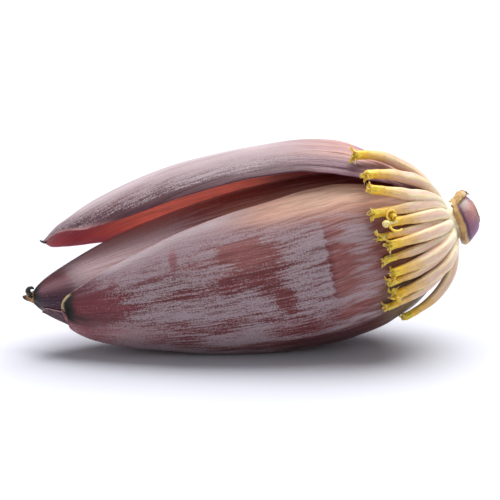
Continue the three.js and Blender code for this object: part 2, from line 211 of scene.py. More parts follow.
@dataclass
class Shape:
    """Points, faces and marks of one piece, gathered from closed surfaces.

    Attributes:
        points: blocks of vertex positions in millimetres.
        faces: blocks of faces with the number of corners each face has.
        slots: material slot of each face, block by block.
        marks: named values of the vertices, block by block: one number or three each.
    """

    points: list[Array] = field(default_factory=list)
    faces: list[Array] = field(default_factory=list)
    slots: list[Array] = field(default_factory=list)
    marks: dict[str, list[Array]] = field(default_factory=dict)

    def _start(self) -> int:
        """Number of the next vertex."""
        return sum(len(block) for block in self.points)

    def _grid(self, rows: int, sides: int) -> tuple[Array, Array, Array]:
        """Numbers of the next rings of vertices, of their neighbours, and the quads between them."""
        number = self._start() + np.arange(rows * sides).reshape(rows, sides)
        ahead = np.roll(number, -1, axis=1)
        quads = np.stack([number[:-1], ahead[:-1], ahead[1:], number[1:]], -1).reshape(-1, 4)
        return number, ahead, quads

    def _note(self, marks: dict[str, Array], count: int) -> None:
        """Keeps the marks of a new block of count vertices."""
        for name, values in marks.items():
            flat = np.asarray(values, float).reshape(count, -1)
            self.marks.setdefault(name, []).append(flat)

    def add_tube(self, rings: Array, marks: dict[str, Array]) -> None:
        """Adds a surface of rings that is closed round and capped by a fan at either end.

        Args:
            rings: points as (ring, corner, xyz).
            marks: values of each point, as (ring, corner) or (ring, corner, 3).
        """
        rows, sides = rings.shape[:2]
        number, ahead, quads = self._grid(rows, sides)
        poles = number[-1, -1] + 1 + np.arange(2)
        caps = [
            np.stack([np.full(sides, poles[0]), ahead[0], number[0]], -1),
            np.stack([np.full(sides, poles[1]), number[-1], ahead[-1]], -1),
        ]
        ends = rings[[0, -1]].mean(axis=1)
        faces = [quads, *caps]
        slots = np.zeros(sum(len(block) for block in faces), int)
        self._add(np.vstack([rings.reshape(-1, 3), ends]), faces, slots)
        full = {}
        for name, values in marks.items():
            v = np.broadcast_to(values, (rows, sides) + np.shape(values)[2:]).astype(float)
            tail = v[[0, -1]].mean(axis=1).reshape(2, -1)
            full[name] = np.vstack([v.reshape(rows * sides, -1), tail])
        self._note(full, rows * sides + 2)

    def add_leaf(self, loops: Array, marks: dict[str, Array], slots: Array) -> None:
        """Adds a thin closed leaf whose rows are flat loops: out along one face, back along the other.

        The first and last loop are zipped shut, each point of one face to its partner on the
        other. The loop has an even number of points and starts at the middle of one edge.

        Args:
            loops: points as (row, corner, xyz).
            marks: values of each point, as (row, corner) or (row, corner, 3).
            slots: material slot of the faces that start at each corner.
        """
        rows, sides = loops.shape[:2]
        number, _, quads = self._grid(rows, sides)
        j = np.arange(sides // 2 - 1)
        zips = []
        for row, turned in ((number[0], True), (number[-1], False)):
            z = np.stack([row[j], row[j + 1], row[sides - 2 - j], row[sides - 1 - j]], -1)
            zips.append(z[:, ::-1] if turned else z)
        body = np.broadcast_to(slots, (rows - 1, sides)).ravel()
        ends = np.zeros(2 * len(j), int)
        self._add(loops.reshape(-1, 3), [quads, *zips], np.concatenate([body, ends]))
        self._note(marks, rows * sides)

    def _add(self, points: Array, faces: list[Array], slots: Array) -> None:
        """Keeps one block of points, its faces and the material slot of each face."""
        self.points.append(points)
        self.faces += faces
        self.slots.append(slots)

    def outward(self) -> "Shape":
        """Turns every face round if the whole encloses a negative volume, and returns itself."""
        points = np.vstack(self.points)
        total = 0.0
        for block in self.faces:
            a = points[block[:, 0]]
            for k in range(1, block.shape[1] - 1):
                total += float(np.sum(a * np.cross(points[block[:, k]], points[block[:, k + 1]])))
        if total < 0:
            self.faces = [block[:, ::-1] for block in self.faces]
        return self

    def joined(self, other: "Shape") -> "Shape":
        """Takes in another shape, whose marks have the same names, and returns itself."""
        shift = self._start()
        self.points += other.points
        self.faces += [block + shift for block in other.faces]
        self.slots += other.slots
        for name, blocks in other.marks.items():
            self.marks.setdefault(name, []).extend(blocks)
        return self

    def build(self, name: str, materials: Sequence[bpy.types.Material]) -> bpy.types.Object:
        """Writes the shape into a new smooth-shaded object at the origin.

        Args:
            name: name of the object and its mesh.
            materials: its material slots, in order.

        Returns:
            The new object, linked to the scene.
        """
        points = np.vstack(self.points) * MM
        corners = np.concatenate([block.ravel() for block in self.faces])
        totals = np.concatenate([np.full(len(block), block.shape[1]) for block in self.faces])
        mesh = bpy.data.meshes.new(name)
        mesh.vertices.add(len(points))
        mesh.vertices.foreach_set("co", points.astype(np.float32).ravel())
        mesh.loops.add(len(corners))
        mesh.loops.foreach_set("vertex_index", corners.astype(np.int32))
        mesh.polygons.add(len(totals))
        mesh.polygons.foreach_set("loop_start", (np.cumsum(totals) - totals).astype(np.int32))
        mesh.polygons.foreach_set("loop_total", totals.astype(np.int32))
        for material in materials:
            mesh.materials.append(material)
        mesh.polygons.foreach_set("material_index", np.concatenate(self.slots).astype(np.int32))
        mesh.update(calc_edges=True)
        for mark, blocks in self.marks.items():
            values = np.vstack(blocks).astype(np.float32)
            kind, key = ("FLOAT", "value") if values.shape[1] == 1 else ("FLOAT_VECTOR", "vector")
            mesh.attributes.new(mark, kind, "POINT").data.foreach_set(key, values.ravel())
        mesh.shade_smooth()
        mesh.validate()
        made = bpy.data.objects.new(name, mesh)
        bpy.context.scene.collection.objects.link(made)
        return made


def closed_tube(rings: Array, **marks: Array) -> Shape:
    """A shape of one tube with its marks, facing outwards."""
    shape = Shape()
    shape.add_tube(rings, marks)
    return shape.outward()


def hand_over(piece: bpy.types.Object, slot: "Slot", *nodes: str) -> None:
    """Lets a finished piece ride on the body and stand for its CAD nodes.

    Args:
        piece: the finished object.
        slot: the record's material slot that it is painted from; not used.
        nodes: the CAD nodes that it stands for.
    """
    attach(piece, BODY)
    if nodes:
        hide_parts(*nodes)
    log.info("%s: %d faces for %s", piece.name, len(piece.data.polygons), ", ".join(nodes) or "trim")


class Slot(Enum):
    """The record's material slots."""

    BUD = "bud"
    UNDER = "bract_under"
    FRONT = "bract_front"
    TOP = "bract_top"
    PEDUNCLE = "peduncle"
    COLLAR = "collar"
    STUB = "stub"
    STRAND = "strand"
    OVARY = "ovary"
    PERIANTH = "perianth"
    STIGMA = "stigma"


class Pigment(Enum):
    """Colours of the living and dried tissue, and of the light and shade painted onto it."""

    MAROON = "#6c2e2f"
    WINE = "#58262b"
    PLUM = "#3d2133"
    RUSSET = "#8d5550"
    MAUVE = "#9c7078"
    ROSE = "#b28081"
    BLUSH = "#d3a493"
    MIST = "#d6c6ca"
    # pale cream, painted on as light where the shoulder lies in shade
    PAINTED_LIGHT_CREAM = "#f4cfb4"
    PEACH = "#d2a08a"
    TAN = "#c08a70"
    BRICK = "#f49a84"
    FLUSH = "#a4525b"
    CRIMSON = "#a8383a"
    OXBLOOD = "#6e2f2e"
    DUSK = "#5f2f38"
    GARNET = "#9c4650"
    VIOLET = "#7d526c"
    OLIVE = "#6f6048"
    CHAR = "#20221f"
    DRY = "#cbb488"
    # pale rim colour, also used for painted highlights
    PALE_RIM_AND_HIGHLIGHT = "#d8b3b0"
    IVORY = "#efe2bb"
    MILK = "#f5edd6"
    HUSK = "#a9824f"
    CUT_RIM = "#8a6a3c"
    COLLAR = "#94607f"
    COLLAR_END = "#8c6672"
    COLLAR_HIGHLIGHT = "#d09a86"
    COLLAR_SHADE = "#5d3a58"
    COLLAR_SHADOW_LINE = "#4a2c3a"
    COLLAR_FRINGE = "#cda56c"
    COLLAR_INSIDE = "#cdb07c"
    TORN = "#8a6238"
    FLAP = "#d3ad74"
    FIBRE = "#fbf6ea"
    FRAYED = "#6d5a50"
    SCRAP = "#d8b27c"
    SCRAP_PALE = "#f0dcae"
    SCRAP_END = "#64584e"

    @property
    def rgb(self) -> Array:
        """Scene-linear colour."""
        return linear(self.value)


# ---- Materials --------------------------------------------------------------------------------


class Recipe:
    """Lays out the nodes of one material and joins them."""

    def __init__(self, name: str) -> None:
        """Starts a material with one Principled shader."""
        self.material = bpy.data.materials.new(name)
        self.material.use_nodes = True
        self.tree = self.material.node_tree
        self.tree.nodes.clear()
        out = self.tree.nodes.new("ShaderNodeOutputMaterial")
        self.shader = self.tree.nodes.new("ShaderNodeBsdfPrincipled")
        self.tree.links.new(self.shader.outputs[0], out.inputs["Surface"])

    def _feed(self, target: Socket, value: object) -> None:
        """Joins a socket to the target, or sets the target's own value."""
        if isinstance(value, bpy.types.NodeSocket):
            self.tree.links.new(value, target)
        elif isinstance(value, (list, tuple, np.ndarray)):
            numbers = [float(x) for x in value]
            target.default_value = numbers + [1.0] if len(target.default_value) > len(numbers) else numbers
        else:
            target.default_value = value

    def _node(self, kind: str, feeds: dict[int | str, object], **settings: object) -> bpy.types.Node:
        """A new shader node with its settings, its inputs fed by number or name."""
        node = self.tree.nodes.new("ShaderNode" + kind)
        for name, value in settings.items():
            setattr(node, name, value)
        for socket, value in feeds.items():
            self._feed(node.inputs[socket], value)
        return node

    def mark(self, name: str) -> Socket:
        """Vector of a mesh attribute, such as grain or pigment."""
        return self._node("Attribute", {}, attribute_name=name).outputs["Vector"]

    def share(self, name: str) -> Socket:
        """Number of a mesh attribute, such as bloom."""
        return self._node("Attribute", {}, attribute_name=name).outputs["Fac"]

    def place(self) -> Socket:
        """Object coordinates."""
        return self._node("TexCoord", {}).outputs["Object"]

    def stretch(self, vector: Socket, scale: Sequence[float]) -> Socket:
        """The vector times a scale on each axis."""
        return self._node("VectorMath", {0: vector, 1: scale}, operation="MULTIPLY").outputs[0]

    def scaled(self, vector: Socket, by: object) -> Socket:
        """The vector or colour times one number."""
        return self._node("VectorMath", {0: vector, "Scale": by}, operation="SCALE").outputs[0]

    def noise(self, vector: Socket, scale: float, detail: float = 2.0, rough: float = 0.5) -> Socket:
        """Fractal noise, about 0.5 on average."""
        feeds = {"Vector": vector, "Scale": scale, "Detail": detail, "Roughness": rough}
        return self._node("TexNoise", feeds).outputs["Fac"]

    def cells(self, vector: Socket, scale: float) -> Socket:
        """Distance to the nearest of scattered points."""
        return self._node("TexVoronoi", {"Vector": vector, "Scale": scale}).outputs["Distance"]

    def sum(self, a: object, b: object, operation: str = "ADD") -> Socket:
        """Two numbers joined by a Math operation."""
        return self._node("Math", {0: a, 1: b}, operation=operation).outputs[0]

    def times(self, a: object, b: object) -> Socket:
        """The product of two numbers."""
        return self.sum(a, b, "MULTIPLY")

    def centred(self, value: Socket, strength: float) -> Socket:
        """Strength times the value's distance above 0.5."""
        return self.times(self.sum(value, 0.5, "SUBTRACT"), strength)

    def crisp(self, value: Socket, spread: float = 0.14) -> Socket:
        """A noise with its middle stretched to fill 0 to 1."""
        return self.step(value, 0.5 - spread, 0.5 + spread)

    def step(
        self, value: Socket, low: float, high: float, out_low: float = 0.0, out_high: float = 1.0
    ) -> Socket:
        """Smooth step of a value from low to high, mapped to an output range."""
        limits = {"From Min": low, "From Max": high, "To Min": out_low, "To Max": out_high}
        feeds = {"Value": value, **limits}
        return self._node("MapRange", feeds, interpolation_type="SMOOTHSTEP").outputs["Result"]

    def blend(self, share: object, a: object, b: object) -> Socket:
        """Colour a turned into colour b by a share."""
        return self._node("Mix", {0: share, 6: a, 7: b}, data_type="RGBA").outputs[2]

    def bump(self, height: Socket, distance: float, strength: float = 1.0) -> None:
        """Dents the shader's normal by a height whose full range is distance in metres."""
        node = self._node("Bump", {"Strength": strength, "Distance": distance, "Height": height})
        self._feed(self.shader.inputs["Normal"], node.outputs[0])

    def surface(self, **values: object) -> bpy.types.Material:
        """Feeds the shader's sockets, named with _ for a space, and returns the material."""
        for name, value in values.items():
            self._feed(self.shader.inputs[name.replace("_", " ")], value)
        return self.material


@dataclass(frozen=True)
class BloomedSkin:
    """Bract skin: pigment under a greyish wax bloom that is streaked, speckled and rubbed off.

    Attributes:
        name: the material's name.
        wax: colour of the bloom.
        wax_most: share of the colour that full bloom covers.
        streak: strength of the lengthwise streaks in the bloom.
        speckle: strength of the fine speckle in the bloom.
        relief: height of the bumps, in metres.
    """

    name: str
    wax: str = "#a8989d"
    wax_most: float = 0.8
    streak: float = 0.6
    speckle: float = 0.46
    relief: float = 0.0005

    def material(self) -> bpy.types.Material:
        """Cover = bloom + streaks + speckle, stepped; colour = pigment mixed with wax by the cover.

        The marks streaked and speckled say how strong the streaks and the speckle are.
        """
        r = Recipe(self.name)
        grain = r.mark("grain")
        thread = r.crisp(r.noise(r.stretch(grain, (1, 0.055, 1)), 900, 3.0, 0.65), 0.12)
        band = r.crisp(r.noise(r.stretch(grain, (1, 0.03, 1)), 360, 2.0, 0.6))
        blotch = r.crisp(r.noise(r.stretch(grain, (1, 0.35, 1)), 85, 3.0, 0.6))
        speck = r.crisp(r.noise(r.place(), 1000, 2.0, 0.6))
        streaks = r.sum(r.centred(thread, self.streak), r.centred(band, self.streak * 0.4))
        cover = r.sum(r.share("bloom"), r.times(streaks, r.share("streaked")))
        cover = r.sum(cover, r.centred(blotch, 0.15))
        cover = r.sum(cover, r.times(r.centred(speck, self.speckle), r.share("speckled")))
        cover = r.step(cover, 0.08, 0.98, 0.0, self.wax_most)
        tint = r.step(r.sum(r.times(band, 0.5), r.times(thread, 0.5)), 0.0, 1.0, 0.78, 1.18)
        flesh = r.scaled(r.mark("pigment"), tint)
        haze = r.blend(r.share("haze"), linear(self.wax), r.mark("pigment"))
        colour = r.blend(cover, flesh, r.scaled(haze, r.step(speck, 0.0, 1.0, 0.93, 1.07)))
        height = r.sum(r.times(thread, 0.3), r.sum(r.times(band, 0.6), r.times(speck, 0.15)))
        r.bump(height, self.relief, 0.6)
        rough = r.step(cover, 0.0, 0.9, 0.42, 0.62)
        return r.surface(Base_Color=colour, Roughness=rough, Specular_IOR_Level=0.28, Sheen_Weight=0.02)


@dataclass(frozen=True)
class Lining:
    """Inner face of a bract: satin, even, with fine lengthwise veins.

    Attributes:
        name: the material's name.
        relief: height of the veins, in metres.
        glow: share of light that spreads under the surface.
        depth: how deep it goes, in metres.
        through: painted glow: a faint emission in the lining's own colour, standing in for light that comes
            through the leaf from above.
    """

    name: str = "bract_lining"
    relief: float = 0.0003
    glow: float = 0.5
    depth: float = 0.003
    through: float = 0.08

    def material(self) -> bpy.types.Material:
        """Colour = pigment times veins and slow blotches."""
        r = Recipe(self.name)
        grain = r.mark("grain")
        vein = r.noise(r.stretch(grain, (1, 0.02, 1)), 900, 2.0, 0.5)
        cloud = r.noise(grain, 60, 2.0, 0.5)
        tint = r.step(r.sum(r.times(vein, 0.8), r.times(cloud, 0.4)), 0.35, 0.85, 0.82, 1.16)
        colour = r.scaled(r.mark("pigment"), tint)
        r.bump(vein, self.relief, 0.6)
        rough = r.step(cloud, 0.3, 0.7, 0.38, 0.5)
        return r.surface(
            Base_Color=colour,
            Roughness=rough,
            Specular_IOR_Level=0.35,
            Subsurface_Weight=self.glow,
            Subsurface_Radius=(1.0, 0.55, 0.45),
            Subsurface_Scale=self.depth,
            # painted glow: the lining emits faintly in its own colour, though no lamp is there
            Emission_Color=colour,
            Emission_Strength=self.through,
        )


@dataclass(frozen=True)
class FloretFlesh:
    """Waxy cream flesh of an ovary: blushed faces between pale yellow-green ridges.

    Attributes:
        name: the material's name.
        cream: colour of the ridges near the neck.
        green: colour of the ridges further out.
        blush: colour of the faces.
        gold: colour next to the tepals.
        bruise: colour of the faint stains.
        glow: share of light that goes through the flesh.
    """

    name: str = "floret_flesh"
    cream: str = "#f6e8ca"
    green: str = "#f1deb0"
    blush: str = "#e2beaa"
    gold: str = "#e9be62"
    bruise: str = "#c99c74"
    glow: float = 0.25

    def material(self) -> bpy.types.Material:
        """Colour = faces to ridges by the ridge mark, turned to gold towards the tepals."""
        r = Recipe(self.name)
        grain = r.mark("grain")
        ridge, share = r.share("ridge"), r.share("share")
        thread = r.crisp(r.noise(r.stretch(grain, (1, 0.05, 1)), 1300, 2.0, 0.55))
        cloud = r.crisp(r.noise(grain, 150, 2.0, 0.5), 0.2)
        edge = r.blend(r.step(share, 0.1, 0.45), linear(self.cream), linear(self.green))
        face = r.blend(r.step(share, 0.08, 0.46), linear(self.cream), linear(self.blush))
        lit = r.step(r.sum(ridge, r.sum(r.centred(thread, 0.2), r.centred(cloud, 0.25))), 0.0, 0.8)
        colour = r.blend(lit, face, edge)
        gold = r.step(r.sum(share, r.centred(cloud, 0.05)), 0.56, 0.8)
        colour = r.blend(gold, colour, linear(self.gold))
        stain = r.step(cloud, 0.6, 1.0, 0.0, 0.28)
        colour = r.blend(stain, colour, linear(self.bruise))
        colour = r.scaled(colour, r.step(thread, 0.0, 1.0, 0.93, 1.05))
        r.bump(r.sum(thread, r.times(cloud, 0.5)), 0.00015, 0.5)
        return r.surface(
            Base_Color=colour,
            Roughness=r.step(cloud, 0.0, 1.0, 0.36, 0.48),
            Subsurface_Weight=self.glow,
            Subsurface_Radius=(1.0, 0.6, 0.3),
            Subsurface_Scale=0.003,
        )


@dataclass(frozen=True)
class TepalFlesh:
    """Bright yellow tepals: darker gold in the folds, pale at the hair-fine tips.

    Attributes:
        name: the material's name.
        root: colour where they leave the ovary.
        yellow: colour of the lobes.
        gold: colour of the tube's streaks.
        pale: colour of the hairs and tips.
        brown: colour of the stained throat.
    """

    name: str = "tepal_flesh"
    root: str = "#e8bb55"
    yellow: str = "#ffd442"
    gold: str = "#ebb034"
    pale: str = "#f7edb4"
    brown: str = "#9a6420"

    def material(self) -> bpy.types.Material:
        """Colour = yellow and gold streaks, paler by the pale mark, browner by the stain mark."""
        r = Recipe(self.name)
        grain = r.mark("grain")
        thread = r.crisp(r.noise(r.stretch(grain, (1, 0.12, 1)), 1100, 2.0, 0.6))
        cloud = r.crisp(r.noise(r.place(), 380, 2.0, 0.55))
        streak = r.step(r.sum(r.times(thread, 0.5), r.times(cloud, 0.5)), 0.1, 0.7)
        colour = r.blend(streak, linear(self.gold), linear(self.yellow))
        colour = r.blend(r.share("open"), linear(self.root), colour)
        colour = r.blend(r.share("pale"), colour, linear(self.pale))
        stain = r.times(r.share("stain"), r.step(cloud, 0.0, 1.0, 0.5, 1.0))
        colour = r.blend(stain, colour, linear(self.brown))
        r.bump(r.sum(thread, cloud), 0.00015, 0.5)
        return r.surface(
            Base_Color=colour,
            Roughness=r.step(cloud, 0.0, 1.0, 0.38, 0.52),
            Subsurface_Weight=0.45,
            Subsurface_Radius=(1.0, 0.55, 0.15),
            Subsurface_Scale=0.003,
        )


@dataclass(frozen=True)
class StemFlesh:
    """Flesh of the neck and collar: a painted pigment with fibres, and dots where it is cut.

    Attributes:
        name: the material's name.
        fibre: strength of the lengthwise fibres.
        relief: height of the bumps, in metres.
        rough: the smoothest and the roughest parts.
        vessel: colour of the cut vessels.
    """

    name: str
    fibre: float = 0.3
    relief: float = 0.0004
    rough: tuple[float, float] = (0.42, 0.6)
    vessel: str = "#6d4a2c"

    def material(self) -> bpy.types.Material:
        """Colour = pigment times fibres, and darker at scattered vessels by the cut mark."""
        r = Recipe(self.name)
        fibre = r.noise(r.stretch(r.mark("grain"), (1, 0.08, 1)), 900, 3.0, 0.6)
        cloud = r.noise(r.place(), 260, 3.0, 0.55)
        low, high = 1.0 - self.fibre, 1.0 + 0.6 * self.fibre
        tint = r.step(r.sum(r.times(fibre, 0.6), r.times(cloud, 0.4)), 0.3, 0.7, low, high)
        colour = r.scaled(r.mark("pigment"), tint)
        dots = r.times(r.step(r.cells(r.place(), 620), 0.42, 0.2), r.share("cut"))
        colour = r.blend(r.times(dots, 0.8), colour, linear(self.vessel))
        r.bump(r.sum(fibre, r.times(cloud, 0.8)), self.relief, 0.7)
        rough = r.step(cloud, 0.3, 0.7, *self.rough)
        return r.surface(Base_Color=colour, Roughness=rough, Specular_IOR_Level=0.4)


@dataclass(frozen=True)
class DriedTissue:
    """Shrivelled tissue at the tips: cracked, fibrous and matt.

    Attributes:
        name: the material's name.
        dark: colour of the cracks.
        light: colour of the fibres.
    """

    name: str
    dark: str
    light: str

    def material(self) -> bpy.types.Material:
        """Colour = dark cracks and light fibres, by stretched noise."""
        r = Recipe(self.name)
        fibre = r.noise(r.stretch(r.mark("grain"), (1, 0.15, 1)), 1500, 4.0, 0.65)
        clump = r.noise(r.place(), 700, 3.0, 0.6)
        share = r.step(r.sum(r.times(fibre, 0.6), r.times(clump, 0.4)), 0.4, 0.62)
        colour = r.blend(share, linear(self.dark), linear(self.light))
        r.bump(r.sum(fibre, clump), 0.0006, 0.9)
        return r.surface(Base_Color=colour, Roughness=r.step(clump, 0.3, 0.7, 0.7, 0.9))


# ---- The bud and its bracts -------------------------------------------------------------------


@dataclass(frozen=True)
class BudForm:
    """The closed bud that every layer wraps: a bent centre line and a radius round it.

    Attributes:
        neck: point of the centre line at station 0.
        shoulder_pull: its first Bezier handle.
        tip_pull: its second Bezier handle.
        tip: point of the centre line at station 1.
        radii: radius at each station.
        sag: how far the belly hangs lower at each station.
        sag_spread: degrees either side of the underneath that sag.
        end: station where the bud stops.
    """

    neck: tuple[float, float, float] = (126.0, 0.0, 75.0)
    shoulder_pull: tuple[float, float, float] = (87.4, 0.0, 61.0)
    tip_pull: tuple[float, float, float] = (-59.0, 0.0, 37.0)
    tip: tuple[float, float, float] = (-137.0, 0.0, 33.5)
    radii: Knots = (
        (-0.1, 9), (0, 10), (0.03, 15.5), (0.1, 28.5), (0.2, 42.3), (0.3, 48.7), (0.4, 50.2), (0.5, 49),
        (0.6, 45.2), (0.7, 38.6), (0.8, 29.6), (0.9, 17.4), (0.935, 12.4), (0.96, 8), (0.975, 4.2),
    )  # fmt: skip
    sag: Knots = ((0.04, 0), (0.2, 0.5), (0.35, 1.3), (0.42, 1.3), (0.55, 0))
    sag_spread: float = 60.0
    end: float = 0.975

    def centre(self, station: Array) -> Array:
        """Bezier point of the centre line; before the neck it runs straight on along the stem."""
        t = np.asarray(station, float)[..., None]
        a, b, c, d = (np.array(p) for p in (self.neck, self.shoulder_pull, self.tip_pull, self.tip))
        curve = (1 - t) ** 3 * a + 3 * (1 - t) ** 2 * t * b + 3 * (1 - t) * t**2 * c + t**3 * d
        return np.where(t >= 0, curve, a + 3 * t * (b - a))

    def axes(self, station: Array) -> tuple[Array, Array, Array]:
        """Unit vectors along the line, up from it, and sideways from it towards the viewer."""
        t = np.maximum(np.asarray(station, float), 0.0)[..., None]
        a, b, c, d = (np.array(p) for p in (self.neck, self.shoulder_pull, self.tip_pull, self.tip))
        along = unit((1 - t) ** 2 * (b - a) + 2 * (1 - t) * t * (c - b) + t**2 * (d - c))
        up = unit(np.array([0.0, 0.0, 1.0]) - along * along[..., 2:])
        return along, up, np.cross(up, along)

    def radius(self, station: Array, azimuth: Array) -> Array:
        """Radius at a station, plus the sag times cos^2 of the angle off the underneath."""
        off = np.abs(np.asarray(azimuth, float) % 360.0 - 180.0)
        window = np.where(off < self.sag_spread, np.cos(off / self.sag_spread * math.pi / 2) ** 2, 0.0)
        return through(self.radii, station) + window * through(self.sag, station)

    def outwards(self, station: Array, azimuth: Array) -> Array:
        """Unit vector away from the centre line: up cos(azimuth) + side sin(azimuth)."""
        _, up, side = self.axes(station)
        return spokes(up, side, np.radians(azimuth))

    def point(self, station: Array, azimuth: Array, radius: Array) -> Array:
        """Centre line plus radius times the outward vector."""
        radius = np.asarray(radius, float)[..., None]
        return self.centre(station) + self.outwards(station, azimuth) * radius


@dataclass(frozen=True)
class Patch:
    """A soft-edged patch on a bract, in its own lengthwise and crosswise terms.

    Attributes:
        across: middle of the patch, from -1 at the first edge to 1 at the second.
        station: middle of the patch along the bud.
        width: half of its width in across.
        length: half of its length in stations.
        strength: depth of the patch.
        slant: how far across it drifts for one station.
        soft: share of its size that is its soft border.
    """

    across: float
    station: float
    width: float
    length: float
    strength: float = 1.0
    slant: float = 0.0
    soft: float = 0.5

    def cover(self, across: Array, station: Array) -> Array:
        """Strength times a window across times a window along, each 1 inside and 0 outside."""
        sideways = np.abs(across - self.across - self.slant * (station - self.station)) / self.width
        lengthways = np.abs(station - self.station) / self.length
        low, high = 1.0 - self.soft, 1.0 + self.soft
        return self.strength * fall(sideways, low, high) * fall(lengthways, low, high)


def covered(patches: Sequence[Patch], across: Array, station: Array) -> Array:
    """The strongest of several patches at each place."""
    total = np.zeros(np.broadcast(across, station).shape)
    for patch in patches:
        total = np.maximum(total, patch.cover(across, station))
    return total


@dataclass
class Layer:
    """One bract: a thin leaf that wraps the bud between two edges, with rounded rims.

    Attributes:
        form: the bud that it wraps.
        tip: station of its tip.
        first: azimuth of its first edge at each station.
        second: azimuth of its second edge at each station.
        start: station of its base.
        wall: thickness along its rib.
        gap: room between layers.
        rows: rows of points along it.
        columns: points across one face.
        cap: points round one rim.
        tip_crowding: how much closer the rows stand towards the tip.
    """

    form: BudForm
    tip: float
    first: Knots
    second: Knots
    start: float = 0.03
    wall: float = 2.2
    gap: float = 0.4
    rows: int = 300
    columns: int = 116
    cap: int = 8
    tip_crowding: float = 1.6

    def rib(self, station: Array) -> Array:
        """Wall along the rib, two fifths thinner towards the tip."""
        return self.wall * (1 - 0.4 * smoothstep(station, 0.6, 0.9))

    def stand_off(self, across: Array, station: Array) -> Array:
        """Distance of the outer face from the bud."""
        raise NotImplementedError

    def move(self, station: Array) -> Array:
        """How far and which way the whole bract has moved off the bud."""
        return np.zeros(np.shape(station) + (3,))

    def relief(self, across: Array, station: Array) -> Array:
        """Ridges and wrinkles of the leaf in millimetres."""
        raise NotImplementedError

    def edges(self, station: Array) -> tuple[Array, Array]:
        """Azimuth of both edges, each with a slight waver."""
        waver = Ripples(5, 3, 20, 8)
        sway = 0.5 * plateau(station, 0.05, 0.2, 0.85, 0.9)
        first = through(self.first, station) + sway * waver(station, 0.0)
        return first, through(self.second, station) + sway * waver(station + 7.3, 0.0)

    def half_width(self, first: Array, second: Array, station: Array) -> Array:
        """Half the distance between two edges in millimetres, measured round the bud."""
        return np.radians((second - first) / 2) * self.form.radius(station, (first + second) / 2)

    def paint(self, across: Array, station: Array) -> tuple[Array, Array, Array]:
        """Pigment, bloom and haze of the outer face."""
        raise NotImplementedError

    def texture(self, across: Array, station: Array) -> tuple[Array, Array]:
        """Strength of the streaks and of the speckle: silky on the shoulder."""
        shoulder = fall(station, 0.3, 0.46) + 0 * across
        return 1 - 0.55 * shoulder, 1.1 - 0.9 * shoulder

    def line(self, across: Array, station: Array) -> Array:
        """Pigment of the inner face."""
        raise NotImplementedError

    def leaf(self) -> Shape:
        """Builds the closed leaf.

        Each row is a loop: half of the first rim, the outer face, the second rim, the inner
        face and the rest of the first rim. A point is the leaf's middle surface, plus half the
        wall times sin(turn) outwards, plus half the wall times cos(turn) past the edge, where
        turn runs through half a circle on each rim.

        Returns:
            The shape with its grain, pigment, bloom, haze and texture marks.
        """
        k = np.linspace(0, 1, self.rows)[:, None]
        station = self.start + (self.tip - self.start) * (1 - (1 - k) ** self.tip_crowding)
        face = np.linspace(-1, 1, self.columns)
        quarter = (np.arange(self.cap // 2) + 0.5) / (self.cap // 2) * 90.0
        rim = np.ones(self.cap // 2)
        flat = np.full(self.columns, 90.0)
        across = np.concatenate([-rim, face, rim, rim, face[::-1], -rim])[None, :]
        turn = np.concatenate([quarter, flat, 90 - quarter, -quarter, -flat, quarter - 90])
        turn = np.radians(turn)[None, :]
        first, second = self.edges(station)
        azimuth = (first + second) / 2 + across * (second - first) / 2
        wall = self.rib(station) * (1 - 0.6 * np.abs(across) ** 3)
        wall = wall * mix(0.25, 1.0, smoothstep(k, 0, 0.02) * smoothstep(1 - k, 0, 0.012))
        outer = self.form.radius(station, azimuth) + self.stand_off(across, station)
        middle = outer - wall / 2 + self.relief(across, station)
        out = self.form.outwards(station, azimuth)
        aside = self.form.outwards(station, azimuth + 90.0)
        push = np.sign(across) * np.where(np.abs(turn) < 1.57, np.cos(turn), 0.0) * wall / 2
        points = self.form.centre(station) + out * middle[..., None]
        points = points + out * (np.sin(turn) * wall / 2)[..., None] + aside * push[..., None]
        points = points + self.move(station + 0 * across)
        inside = np.broadcast_to(np.sin(turn) < -0.5, azimuth.shape)
        floor = np.where(inside, self.wall, 0.0)
        points[..., 2] = np.maximum(points[..., 2], floor)
        place = np.broadcast_arrays(across, station)
        pigment, bloom, haze = self.paint(*place)
        within = self.line(*place)
        share = smoothstep(-np.sin(turn) + 0 * station, 0.1, 0.9)
        pigment = mix(pigment, within, share[..., None])
        streaked, speckled = self.texture(*place)
        half = self.half_width(first, second, station)
        half = GRAIN_HALF * MM * (half / GRAIN_HALF) ** 0.55
        grain = np.stack([half * across, GRAIN_LENGTH * station + 0 * across, 0.02 * share], -1)
        marks = {"grain": grain, "pigment": pigment, "bloom": bloom * (1 - share), "haze": haze}
        marks |= {"streaked": streaked, "speckled": speckled}
        slots = (inside[0] & np.roll(inside[0], -1)).astype(int)
        shape = Shape()
        shape.add_leaf(points, marks, slots[None, :])
        return shape.outward()


def tinted(base: Pigment, like: Array, *coats: tuple[Array, Pigment]) -> Array:
    """A pigment with coats of others over it.

    Args:
        base: the ground colour.
        like: any array of the wanted shape.
        coats: pairs of a cover from 0 to 1 and the pigment that it brings.

    Returns:
        Scene-linear colours, one for each place.
    """
    colour = np.broadcast_to(base.rgb, np.shape(like) + (3,)).copy()
    for cover, pigment in coats:
        colour = mix(colour, pigment.rgb, np.clip(cover, 0, 1)[..., None])
    return colour


def calm_rim(across: Array) -> Array:
    """Nothing on the very edge of a bract and one inside it, so that its rim stays smooth."""
    return smoothstep(1 - np.abs(across), 0, 0.06)


def rim_cover(across: Array, width: float) -> Array:
    """One on the very edge of a bract, falling to nothing a width inside it."""
    return fall(1 - np.abs(across), 0.0, width)


